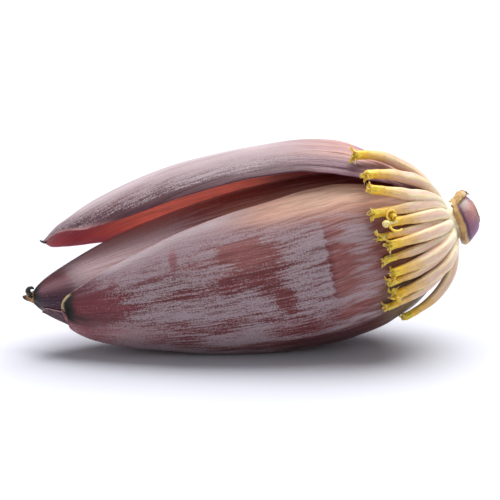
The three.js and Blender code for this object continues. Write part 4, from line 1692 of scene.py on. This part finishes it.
    def ovary(self, path: Path, row: Row, seed: int) -> Shape:
        """A curved spindle with four soft ridges.

        The section is a circle mixed with a four-sided polygon, whose radius is
        cos(45 deg) / cos(angle off the nearest face), turned a little more along the way.

        Args:
            path: its centre line.
            row: its row, for its size.
            seed: start of the random draw for its turn and ripples.

        Returns:
            The shape with its grain, ridge and share marks.
        """
        rng = np.random.default_rng(seed)
        share = np.linspace(path.share[0], self.ovary_share + 0.015, self.rings)
        point, _, out, side = path.at(share)
        angle = circle(self.sides)
        twist = rng.uniform(-0.3, 0.3) + rng.uniform(-0.4, 0.4) * share[:, None]
        quarter = math.pi / 2
        off = (angle[None, :] + twist + quarter / 2) % quarter - quarter / 2
        poly = math.cos(quarter / 2) / np.cos(off)
        ridge = ((poly - 0.7071) / 0.2929) ** 1.05
        squareness = 0.36 * (smoothstep(share, 0.0, 0.35) * (1 - 0.6 * smoothstep(share, 0.6, 0.8)))[:, None]
        section = mix(1.0, 1.17 * poly, squareness)
        size = self.radius(row, share) * (1 + 0.035 * Ripples(seed, 2, 7, 5)(share, 0.0))
        ripple = 1 + 0.014 * Ripples(seed + 50, 1.5, 5, 6)(angle[None, :] / 1.3, share[:, None])
        r = size[:, None] * section * ripple
        rings = point[:, None] + out[:, None] * (0.9 * r * np.cos(angle))[..., None]
        rings = rings + side[:, None] * (1.03 * r * np.sin(angle))[..., None]
        run = (share * path.length)[:, None]
        grain = round_grain(r, run, angle)
        return closed_tube(rings, grain=grain, ridge=ridge * np.ones_like(r), share=share[:, None] + 0 * r)

    def tepals(self, path: Path, row: Row, seed: int, long: float, curl: float) -> Shape:
        """The yellow perianth: a pleated tube that parts into five curled, pointed lobes.

        A lobe's length at an angle is (1 - |t|^2.4) of its longest, where t runs from -1 to 1
        across it. Its middle line leaves the mouth nearly straight and then bends by the same
        angle for each millimetre, so that it lies on an arc of a circle: outwards on three or
        four lobes, inwards over the mouth on the others. The inner face is the outer one moved
        in by the wall, and runs down to the bottom of the throat.

        Args:
            path: the floret's centre line.
            row: its row, for its size.
            seed: start of the random draw for the lobes and hairs.
            long: length of the longest lobe in millimetres.
            curl: how far it curls, in radians.

        Returns:
            The shape with its grain, open, pale and stain marks.
        """
        rng = np.random.default_rng(seed)
        lobes, sides, wall = 5, 80, 0.55
        tube_rows, lobe_rows, throat_rows = 16, 17, 5
        angle = circle(sides)
        place = (angle / (2 * math.pi) * lobes + rng.uniform(0, 1)) % lobes
        which = place.astype(int)
        t = 2 * (place - which) - 1
        longest = 0.86 * long * rng.uniform(0.62, 1.0, lobes)
        inward = rng.permutation(lobes) < 2
        bends = np.where(inward, -rng.uniform(0.7, 1.5, lobes), curl * rng.uniform(0.7, 1.3, lobes))
        lean = rng.uniform(-0.15, 0.2, lobes)
        swing = rng.uniform(-0.5, 0.5, lobes)
        reach = longest[which] * (0.08 + 0.92 * (1 - np.abs(t) ** 2.4) ** 0.8)
        bend = bends[which] / longest[which]
        size = float(self.radius(row, np.array(self.ovary_share)))
        begin = self.ovary_share - 0.006
        share = np.linspace(begin, self.mouth, tube_rows)
        climb = np.linspace(0, 1, tube_rows)
        pleat = 1 + 0.06 * np.cos(2 * math.pi * place)[None, :]
        swell = through(self.swell, (share - begin) / (self.mouth - begin))
        point, along, out, side = path.at(share)
        around = spokes(out[:, None], side[:, None], angle)
        pleated = mix(1.0, pleat, climb[:, None])
        tube = point[:, None] + around * (size * swell[:, None] * pleated)[..., None]
        way, forth, lip = around[-1], along[-1], tube[-1]
        aside = np.cross(forth, way)

        q = np.linspace(0, 1, lobe_rows)
        s = q[:, None] * reach[None, :]
        turn = bend[None, :] * s + lean[which][None, :] * smoothstep(s, 0, 2.0)
        step = np.diff(s, axis=0)
        half = (turn[1:] + turn[:-1]) / 2
        forward = np.concatenate([np.zeros((1, sides)), np.cumsum(np.cos(half) * step, axis=0)])
        outward = np.concatenate([np.zeros((1, sides)), np.cumsum(np.sin(half) * step, axis=0)])
        waist = -t[None, :] * s * 0.2 + swing[which][None, :] * s * (s / long) * 0.6
        outer = lip + forth * forward[..., None] + way * outward[..., None] + aside * waist[..., None]
        facing = way * np.cos(turn)[..., None] - forth * np.sin(turn)[..., None]
        crumple = 0.32 * Ripples(seed + 9, 2.0, 8.0, 12)(place[None, :] * 1.6, s / 2.4)
        crumple = crumple * smoothstep(s, 0, 2.0)
        cup = 1.1 * (t**2)[None, :] * smoothstep(s, 0, 2.5) + crumple
        outer = outer - facing * cup[..., None]
        thin = (wall * (1 - 0.7 * q**2))[:, None, None]
        inner = (outer - facing * thin)[::-1]
        throat_share = np.linspace(self.mouth - 0.004, self.mouth - 0.05, throat_rows)
        deep, _, deep_out, deep_side = path.at(throat_share)
        ring = spokes(deep_out[:, None], deep_side[:, None], angle)
        hollow = np.linspace(0.95, 0.6, throat_rows)[:, None] * size * pleat - wall
        throat = deep[:, None] + ring * hollow[..., None]
        rings = np.concatenate([tube, outer[1:], inner, throat])
        count = len(rings)
        tall = (reach / long)[None, :]
        below, deepest = np.zeros(tube_rows), np.zeros(throat_rows)
        fade = np.concatenate([below, q[1:] ** 5, q[::-1] ** 5, deepest])[:, None]
        pale = 0.7 * fade * tall**2
        brown = np.linspace(0.15, 0.7, throat_rows)
        stain = np.concatenate([below, 0.03 * q[1:], 0.05 + 0 * q, brown])[:, None]
        opened = np.concatenate([smoothstep(climb, 0.0, 0.7), np.ones(count - tube_rows)])[:, None]
        ahead = np.linspace(0, 1, count)[:, None] * 14.0
        grain = round_grain(size, ahead, angle)
        shape = closed_tube(rings, grain=grain, open=opened + 0 * pale, pale=pale, stain=stain + 0 * pale)
        for k in range(lobes):
            middle = int(np.argmin(np.abs(place - (k + 0.5))))
            start, heading = outer[-1, middle], unit(outer[-1, middle] - outer[-2, middle])
            drift = unit(heading + 0.8 * rng.normal(0, 0.5, 3))
            run = np.linspace(0, rng.uniform(0.6, 2.0), 7)[:, None]
            line = start - heading * 0.5 + heading * run + drift * run**2 * 0.3
            shape.joined(self._marked(thread(line, np.linspace(0.32, 0.08, 7), 5), 0.5, 0.0))
        if curl > 4:
            q = np.linspace(0, 1, 26)[:, None]
            for side_way, loop_way, size_, turns in ((-0.2, 1.0, 3.0, 1.0), (1.0, -0.9, 3.4, 0.62)):
                swing = q * turns * 2 * math.pi
                up = unit(out[-1] * 0.5 + side[-1] * loop_way)
                line = point[-1] + up * 1.4 + up * size_ * (1 - np.cos(swing))
                line = line + along[-1] * (size_ * np.sin(swing) + 1.0) + out[-1] * side_way * q * 2.0
                shape.joined(self._marked(thread(line, np.linspace(0.85, 0.6, 26), 9), 0.1, 0.0))
        for k in range(7):
            aim = angle[int(rng.integers(sides))]
            spot = point[-1] + out[-1] * math.cos(aim) * 1.3 + side[-1] * math.sin(aim) * 1.3
            run = np.linspace(-3.0, rng.uniform(1.0, 3.2), 9)[:, None]
            line = spot + forth * run + unit(rng.normal(0, 1, 3)) * (run + 3) ** 2 * 0.04
            shape.joined(self._marked(thread(line, np.linspace(0.95, 0.6, 9), 8), 0.1, 0.0))
        return shape

    @staticmethod
    def _marked(shape: Shape, pale: float, stain: float) -> Shape:
        """Gives a small shape even open, pale and stain marks."""
        count = sum(len(block) for block in shape.points)
        for name, value in (("open", 1.0), ("pale", pale), ("stain", stain)):
            shape.marks[name] = [np.full((count, 1), value)]
        return shape

    def stigma(self, path: Path) -> Shape:
        """The pale stigma of one floret: a lumpy knob of three lobes on a short style."""
        point, along, out, side = (block[0] for block in path.at(np.array([1.0])))
        turn = np.linspace(0.02, math.pi - 0.02, 26)[:, None]
        angle = circle(32)[None, :]
        lobed = 1 + 0.1 * np.cos(3 * angle) * np.sin(turn) ** 2 + 0.05 * Ripples(71, 1, 4, 6)(angle / 3, turn)
        r = 2.2 * lobed
        centre = point - along * 1.5 + out * 2.2 - side * 0.8
        rings = centre + along * (r * np.cos(turn))[..., None] * 1.15
        rings = rings + out * (r * np.sin(turn) * np.cos(angle))[..., None]
        rings = rings + side * (r * np.sin(turn) * np.sin(angle))[..., None]
        zero = np.zeros(r.shape)
        grain = (rings - centre) * MM
        shape = closed_tube(rings, grain=grain, open=zero + 1, pale=zero + 0.75, stain=zero + 0.12)
        run = np.linspace(-7, 0.6, 8)[:, None]
        return shape.joined(self._marked(thread(centre + along * run, np.full(8, 0.9), 12), 0.6, 0.1))

    def build(self) -> None:
        """Makes every floret, each as an ovary and its tepals, and the one stigma that shows."""
        flesh, tepal = self.flesh.material(), self.tepal.material()
        last = Floret(0, 0, 0, 0, Row.HANGING, False, 4.5, 1.0)
        paths = [(self.path(f), f) for f in self.florets] + [(self.hanging_path(), last)]
        for number, (path, floret) in enumerate(paths, 1):
            label = f"{number:02d}"
            ovary = self.ovary(path, floret.row, 100 + number).build(f"ovary_{label}", [flesh])
            hand_over(ovary, Slot.OVARY, f"floret_{label}")
            cup = self.tepals(path, floret.row, 200 + number, floret.lobe, floret.curl)
            hand_over(cup.build(f"tepals_{label}", [tepal]), Slot.PERIANTH, f"perianth_{label}")
        knob = self.stigma(paths[4][0]).build("stigma", [tepal])
        hand_over(knob, Slot.STIGMA, "stigma_05")


# ---- Stem end and tip -------------------------------------------------------------------------


@dataclass
class StemEnd:
    """The neck that the florets grow from, and the torn collar round its cut end.

    Attributes:
        form: the bud, for the stem's axis.
        profile: the neck as (distance outwards, radius) along the stem.
        outer: the collar's outer face, from the cut end to the rim.
        inner: its inner face, from the rim to the cut end.
        sunk: how far the collar's middle lies below the stem's axis.
        near: how much further its near side reaches towards the bud.
        sides: points round.
        flesh: material of the neck.
        husk: material of the collar.
    """

    form: BudForm
    profile: Knots = (
        (-9, 17.5), (-6, 20.5), (-3, 20.5), (-0.6, 18.6), (1.2, 16), (2.6, 13.8), (4.2, 12.2), (6.4, 11.9),
        (9, 12.2), (10.4, 12.0), (13, 10.4), (16, 8.4), (19.4, 7.6), (20.2, 7.2),
    )  # fmt: skip
    outer: tuple[tuple[float, float], ...] = (
        (19.6, 6.4), (19.0, 8.8), (17.6, 11.2), (15.2, 13.2), (12.2, 14.2), (9.2, 14.6), (6.8, 14.4),
    )  # fmt: skip
    inner: tuple[tuple[float, float], ...] = (
        (5.8, 13.9), (5.6, 13.0), (6.6, 12.6), (9.4, 12.9), (12.0, 12.2), (14.6, 9.6), (17.0, 6.4),
    )  # fmt: skip
    sunk: float = 3.2
    near: float = 0.6
    sides: int = 160
    flesh: StemFlesh = StemFlesh("neck_flesh", 0.12, 0.00025, (0.36, 0.5))
    husk: StemFlesh = StemFlesh("collar_skin", 0.22, 0.0003, (0.34, 0.5))

    def revolve(self, outwards: Array, radius: Array, angle: Array, sunk: Array = 0.0) -> Array:
        """Points at a distance outwards along the stem, a radius and angle round it, and sunk below it."""
        along, up, side = self.form.axes(np.array(0.0))
        centre = np.array(self.form.neck) - along * outwards[..., None]
        return centre + spokes(up, side, angle) * radius[..., None] - up * np.asarray(sunk)[..., None]

    def neck(self) -> Shape:
        """Turned profile with furrows between the floret bases and a cut end."""
        out = np.concatenate([np.linspace(-9, 20.2, 70), np.full(6, 20.2)])[:, None]
        angle = circle(self.sides)[None, :]
        shrink = np.concatenate([np.ones(70), np.linspace(0.92, 0.12, 6)])[:, None]
        base = through(self.profile, out)
        whole = np.cos(angle) * 3 + np.sin(angle) * 2
        furrow = 0.3 * Ripples(81, 0.5, 1.6, 7, 0.6, 0.03)(whole, out) * fall(out, 13, 17)
        fine = 0.05 * Ripples(82, 2, 6, 10, 0.8, 0.05)(whole, out)
        radius = (base + furrow + fine) * shrink
        sawn = 0.35 * Ripples(83, 0.5, 3, 8)(radius * np.cos(angle) / 5, radius * np.sin(angle) / 5)
        end = out + sawn * (shrink < 1)
        cut = (shrink < 1) * 1.0 + 0 * angle
        brown = smoothstep(out, 12.5, 18) * (1 - cut)
        pigment = tinted(
            Pigment.IVORY,
            cut,
            (0.7 * bump_at(out, 5.5, 2.5) + 0 * angle, Pigment.MILK),
            (brown + 0 * angle, Pigment.HUSK),
            (cut * smoothstep(shrink, 0.75, 0.95), Pigment.CUT_RIM),
        )
        rings = self.revolve(end + 0 * angle, radius, angle + 0 * out)
        return closed_tube(rings, grain=round_grain(radius, out, angle), pigment=pigment, cut=cut)

    def collar(self) -> Shape:
        """The torn bowl: purple outside, a thick tan broken rim, and one flap torn upwards."""
        angle = circle(self.sides)[None, :]
        turn = np.degrees((angle + math.pi) % (2 * math.pi) - math.pi)
        outside, inside = 34, 30
        face = np.vstack([chain(self.outer, outside), chain(self.inner, inside)])
        row = np.arange(outside + inside)[:, None]
        near_rim = np.concatenate([np.linspace(0, 1, outside), np.linspace(1, 0, inside)])[:, None]
        lip = smoothstep(near_rim, 0.45, 1.0)
        ragged = Ripples(91, 1.2, 8, 12, 0.5, 0.3)(angle / 2, 0.0)
        flap = plateau(turn, -20, -8, 40, 54)
        torn = bump_at(turn, -30, 8)
        frayed = 0.5 + 0.5 * np.cos(np.radians(turn * 14))
        lengthen = -0.5 * ragged * lip + 1.2 * torn * lip
        lengthen = lengthen - self.near * np.sin(angle) * smoothstep(near_rim, 0.2, 0.9)
        widen = 0.35 * ragged * lip + (0.4 + 0.5 * frayed) * flap * lip**2 - 0.8 * torn * lip
        outwards = face[:, :1] + lengthen
        radius = face[:, 1:] + widen
        veins = 0.08 * Ripples(92, 1.5, 9, 14, 1.0, 0.05)(np.cos(angle) * 3 + np.sin(angle) * 2, outwards)
        is_rim = 1.0 * ((row >= outside - 3) & (row < outside + 11))
        radius = radius + veins * (1 - is_rim)
        within = 1.0 * (row >= outside + 4)
        fringe = [smoothstep(np.linspace(0, 1, outside), 0.78, 0.86), np.linspace(1, 0, inside) ** 2]
        fringe = np.concatenate(fringe)[:, None]
        whole = 0 * angle
        streak = bump_at(turn, 22, 26) * bump_at(near_rim, 0.6, 0.12) * (within < 0.5)
        # painted highlight: an orange-pink patch on the upper part of the purple face
        glow = bump_at(turn, 62, 34) * bump_at(near_rim, 0.42, 0.26) * (within < 0.5)
        scrap = flap * smoothstep(near_rim, 0.8, 0.95)
        pigment = tinted(
            Pigment.COLLAR,
            radius,
            (0.7 * fall(near_rim, 0.1, 0.5) + whole, Pigment.COLLAR_END),
            (0.8 * glow, Pigment.COLLAR_HIGHLIGHT),
            (0.55 * bump_at(turn, 130, 40) * smoothstep(near_rim, 0.5, 0.8), Pigment.COLLAR_SHADE),
            # painted shadow: a dark line between the tan rim and the purple face
            (0.9 * bump_at(near_rim, 0.76, 0.05) * (within < 0.5) + whole, Pigment.COLLAR_SHADOW_LINE),
            (fringe + whole, Pigment.COLLAR_FRINGE),
            (within * (1 - is_rim) + whole, Pigment.COLLAR_INSIDE),
            (is_rim * (0.35 + 0.35 * ragged) + whole, Pigment.TORN),
            (scrap, Pigment.FLAP),
            (streak, Pigment.FIBRE),
            (0.7 * flap * bump_at(near_rim, 1.0, 0.02) * is_rim, Pigment.FRAYED),
        )
        rings = self.revolve(outwards, radius, angle + 0 * outwards, self.sunk * lip + 0 * outwards)
        grain = round_grain(radius, outwards, angle)
        bowl = closed_tube(rings, grain=grain, pigment=pigment, cut=0 * radius)
        return bowl.joined(self.scrap())

    def scrap(self) -> Shape:
        """A torn strip of the rim that stands up and folds back over the collar's top.

        Its rows run outwards from the rim while the height over the stem's axis climbs, and
        its free edge is frayed by a ripple. Each row is a thin closed strip.

        Returns:
            The shape with its grain, pigment and cut marks.
        """
        k = np.linspace(0, 1, 26)[:, None]
        spread = np.linspace(-1, 1, 30)
        across = np.concatenate([spread, spread[::-1]])[None, :]
        face = np.concatenate([np.ones(30), -np.ones(30)])[None, :]
        fray = Ripples(93, 1.2, 5, 9)(across * 1.5, 0.0)
        half = 24.0 * (1 - 0.3 * k**2)
        turn = np.radians(8.0 + across * half)
        thick = 0.5 * (1 - 0.6 * np.abs(across) ** 4) * (1 - 0.4 * k)
        reach = k * (1 + 0.16 * fray) * (1 - 0.25 * across**2)
        outwards = 8.6 + 9.6 * reach + 0.5 * Ripples(94, 0.8, 3, 7)(across * 2, k)
        outwards = outwards - self.near * np.sin(turn)
        radius = 14.2 + 4.2 * np.sin(reach * 2.3) + 0.5 * Ripples(99, 1.0, 4, 8)(across * 2, k) + thick * face
        dark = smoothstep(reach, 0.82, 0.98)
        pigment = tinted(
            Pigment.SCRAP,
            radius,
            (0.6 * smoothstep(Ripples(88, 1, 6, 9)(across * 3, k), 0.2, 1.0), Pigment.SCRAP_PALE),
            (0.8 * smoothstep(np.abs(across) + 0 * k, 0.8, 1.0), Pigment.TORN),
            (dark, Pigment.SCRAP_END),
        )
        grain = np.stack(np.broadcast_arrays(across * 6, outwards, radius), -1) * MM
        rings = self.revolve(outwards, radius, turn + 0 * k, self.sunk + 0 * outwards)
        return closed_tube(rings, grain=grain, pigment=pigment, cut=0 * radius)

    def build(self) -> None:
        """Makes the neck and the collar."""
        hand_over(self.neck().build("neck", [self.flesh.material()]), Slot.PEDUNCLE, "peduncle")
        hand_over(self.collar().build("collar", [self.husk.material()]), Slot.COLLAR, "scar_collar")


@dataclass
class BudTip:
    """The dried stub on the bud's tip and the black strands that curl over it.

    Attributes:
        form: the bud, for its end.
        radius: radius of the stub.
        length: length of the stub.
        strand: the largest strand's line.
        bark: material of the stub.
        black: material of the strands and the bract's point.
    """

    form: BudForm
    radius: float = 3.4
    length: float = 6.4
    strand: tuple[tuple[float, float, float], ...] = (
        (-132.6, -2.6, 36.2), (-133.9, -3.0, 37.8), (-134.4, -3.2, 39.4), (-133.4, -3.6, 40.7),
        (-131.8, -3.4, 41.0), (-130.8, -3.0, 40.2),
    )  # fmt: skip
    bark: DriedTissue = DriedTissue("dried_stub", "#6b4630", "#dca878")
    black: DriedTissue = DriedTissue("dried_strand", "#171713", "#55554a")

    def stub(self) -> Shape:
        """A shrivelled cone with deep lengthwise creases and frayed ends."""
        along, up, side = self.form.axes(np.array(self.form.end))
        start = self.form.centre(np.array(self.form.end)) + up * 0.3
        k = np.linspace(0, 1, 40)[:, None]
        angle = circle(48)[None, :]
        width = through(((0, 1.02), (0.2, 1.04), (0.55, 0.74), (0.85, 0.5), (1, 0.2)), k)
        whole = np.cos(angle) * 2 + np.sin(angle) * 1.5
        crease = 1 + 0.22 * Ripples(95, 0.8, 3.2, 10, 0.8, 0.6)(whole, k)
        radius = self.radius * width * crease
        run = -1.4 + self.length * k * (1 + 0.14 * Ripples(96, 1, 4, 8)(whole, 0.0))
        rings = start + along * run[..., None] + spokes(up, side, angle) * radius[..., None]
        shape = closed_tube(rings, grain=round_grain(radius, run, angle))
        rng = np.random.default_rng(97)
        for _ in range(9):
            aim = rng.uniform(0, 2 * math.pi)
            foot = start + along * 3.0 + (up * math.cos(aim) + side * math.sin(aim)) * 1.7
            run = np.linspace(0, rng.uniform(1.6, 3.4), 7)[:, None]
            bend = unit(rng.normal(0, 1, 3))
            line = foot + along * run + bend * run**2 * 0.12
            shape.joined(thread(line, np.linspace(0.5, 0.12, 7), 7, 3, 0.2))
        return shape

    def strands(self) -> Shape:
        """Black curls: one large, and four small ones round the stub."""
        along, up, side = self.form.axes(np.array(self.form.end))
        start = self.form.centre(np.array(self.form.end))
        line = chain(self.strand, 30)
        radii = through(((0, 1.2), (0.3, 1.5), (0.6, 1.2), (1, 0.5)), np.linspace(0, 1, 30))
        shape = thread(line, radii, 12, 5, 0.22)
        run = np.linspace(4.4, 6.6, 8)[:, None]
        knob = start + along * run + up * (0.5 + 0.2 * (run - 4.4) ** 2)
        shape.joined(thread(knob, through(((0, 0.7), (0.5, 1.2), (1, 0.4)), np.linspace(0, 1, 8)), 9, 4, 0.3))
        rng = np.random.default_rng(98)
        for aim, reach in ((30, 4.4), (70, 3.2), (330, 3.0)):
            a = math.radians(aim)
            way = up * math.cos(a) + side * math.sin(a)
            s = np.linspace(0, 1, 16)[:, None]
            swirl = np.cross(along, way)
            foot = start + way * 2.4 - along * 0.5
            line = foot + along * reach * np.sin(s * 2.0) + way * reach * 0.45 * (1 - np.cos(s * 3.2))
            line = line + swirl * rng.uniform(-1.5, 1.5) * s**2
            shape.joined(thread(line, np.linspace(0.8, 0.25, 16), 9, int(aim), 0.25))
        return shape

    def thorn(self, bract: TopBract) -> Shape:
        """The tiny dried point on the lifted bract's tip."""
        station = np.array(bract.tip)
        azimuth = np.array(-15.0)
        radius = self.form.radius(station, azimuth) + bract.stand_off(np.array(0.0), station)
        foot = self.form.point(station, azimuth, radius) + bract.move(station)
        along, up, _ = self.form.axes(station)
        s = np.linspace(0, 1, 14)[:, None]
        line = foot - along * 1.6 + along * 3.4 * s + up * 1.2 * s**3 - np.array([0, 1.0, 0]) * np.sin(3 * s)
        return thread(line, through(((0, 1.0), (0.5, 0.8), (1, 0.3)), s[:, 0]), 9, 9, 0.25)

    def build(self, bract: TopBract) -> None:
        """Makes the stub, the strands and the point."""
        black = self.black.material()
        hand_over(self.stub().build("stub", [self.bark.material()]), Slot.STUB, "tip_stub")
        hand_over(self.strands().build("strands", [black]), Slot.STRAND, "tip_strand")
        hand_over(self.thorn(bract).build("lifted_bract_point", [black]), Slot.STRAND)


# ---- Studio -----------------------------------------------------------------------------------


@dataclass
class Studio:
    """Plain pale floor, soft light and the camera.

    Attributes:
        azimuth: the camera's angle round the object, in degrees.
        elevation: its angle above the horizon, in degrees.
        distance: from the camera to its target, in metres.
        target: the point that it looks at, in metres.
        lens: focal length on a 36 mm sensor, in millimetres.
        floor_half: half the floor's side, in metres.
        floor_drop: how far the floor lies under the belly, in metres.
        floor_tones: the two colours of the floor's mottling.
        sky: colour of the light from all round.
        sky_strength: its strength.
        key: direction, strength and angle in degrees of the sun.
        soft_boxes: name, direction, watts and size in metres of each soft box.
    """

    azimuth: float = -6.0
    elevation: float = 14.0
    distance: float = 1.1
    target: tuple[float, float, float] = (0.003, 0.0, 0.0605)
    lens: float = 127.7
    floor_half: float = 6.0
    floor_drop: float = 1e-4
    floor_tones: tuple[str, str] = ("#cbccd5", "#d0d1d9")
    sky: tuple[float, float, float, float] = (0.95, 0.965, 1.0, 1.0)
    sky_strength: float = 0.38
    key: tuple[tuple[float, float, float], float, float] = ((0.38, 0.56, 1.6), 4.7, 60.0)
    soft_boxes: tuple[tuple[str, tuple[float, float, float], float, float], ...] = (
        ("fill", (-0.35, -1.6, 1.0), 1.1, 1.2),
        ("side", (-1.1, -0.9, 0.3), 0.9, 0.9),
    )

    def paper(self) -> bpy.types.Material:
        """Matt pale paper with the faintest mottling."""
        r = Recipe("floor_paper")
        cloud = r.noise(r.place(), 3.0, 2.0, 0.5)
        tone = r.step(cloud, 0.3, 0.7)
        return r.surface(Base_Color=r.blend(tone, *map(linear, self.floor_tones)), Roughness=0.9)

    def floor(self) -> None:
        """A flat sheet just under the belly."""
        h, low = self.floor_half, -self.floor_drop
        mesh = bpy.data.meshes.new("floor")
        corners = [(-h, -h, low), (h, -h, low), (h, h, low), (-h, h, low)]
        mesh.from_pydata(corners, [], [(0, 1, 2, 3)])
        mesh.materials.append(self.paper())
        sheet = bpy.data.objects.new("floor", mesh)
        bpy.context.scene.collection.objects.link(sheet)

    def lamp(self, name: str, kind: str, way: Sequence[float], **values: object) -> None:
        """A lamp that shines from a direction.

        Args:
            name: the lamp's name.
            kind: SUN or AREA.
            way: from the object to the lamp, in metres.
            values: settings of the lamp.
        """
        data = bpy.data.lights.new(name, kind)
        for key, value in values.items():
            setattr(data, key, value)
        made = bpy.data.objects.new(name, data)
        made.location = Vector(way)
        made.rotation_euler = (-Vector(way)).to_track_quat("-Z", "Y").to_euler()
        bpy.context.scene.collection.objects.link(made)

    def camera(self) -> None:
        """The camera, looking at its target."""
        a, e = math.radians(self.azimuth), math.radians(self.elevation)
        back = Vector((math.sin(a) * math.cos(e), -math.cos(a) * math.cos(e), math.sin(e)))
        data = bpy.data.cameras.new("camera")
        data.sensor_width, data.lens = 36.0, self.lens
        made = bpy.data.objects.new("camera", data)
        made.location = Vector(self.target) + back * self.distance
        made.rotation_euler = (-back).to_track_quat("-Z", "Y").to_euler()
        bpy.context.scene.collection.objects.link(made)
        bpy.context.scene.camera = made

    def build(self) -> None:
        """Sets up the world, the lamps, the floor and the camera."""
        world = bpy.data.worlds.new("studio")
        world.use_nodes = True
        background = world.node_tree.nodes["Background"]
        background.inputs["Color"].default_value = self.sky
        background.inputs["Strength"].default_value = self.sky_strength
        bpy.context.scene.world = world
        bpy.context.scene.view_settings.view_transform = "Standard"
        way, strength, spread = self.key
        self.lamp("key", "SUN", way, energy=strength, angle=math.radians(spread))
        for name, way, watts, size in self.soft_boxes:
            self.lamp(name, "AREA", way, energy=watts, size=size)
        self.floor()
        self.camera()
        log.info("studio ready")


def main() -> None:
    """Builds the blossom piece by piece, then the studio round it."""
    logging.basicConfig(level=logging.INFO, format="%(name)s: %(message)s")
    form = BudForm()
    wrapping = Wrapping(form)
    front, _, top = (layer for layer, *_ in wrapping.layers())
    Studio().build()
    wrapping.build()
    FloretHand(form, front, top).build()
    StemEnd(form).build()
    BudTip(form).build(top)


if __name__ == "__main__":
    main()
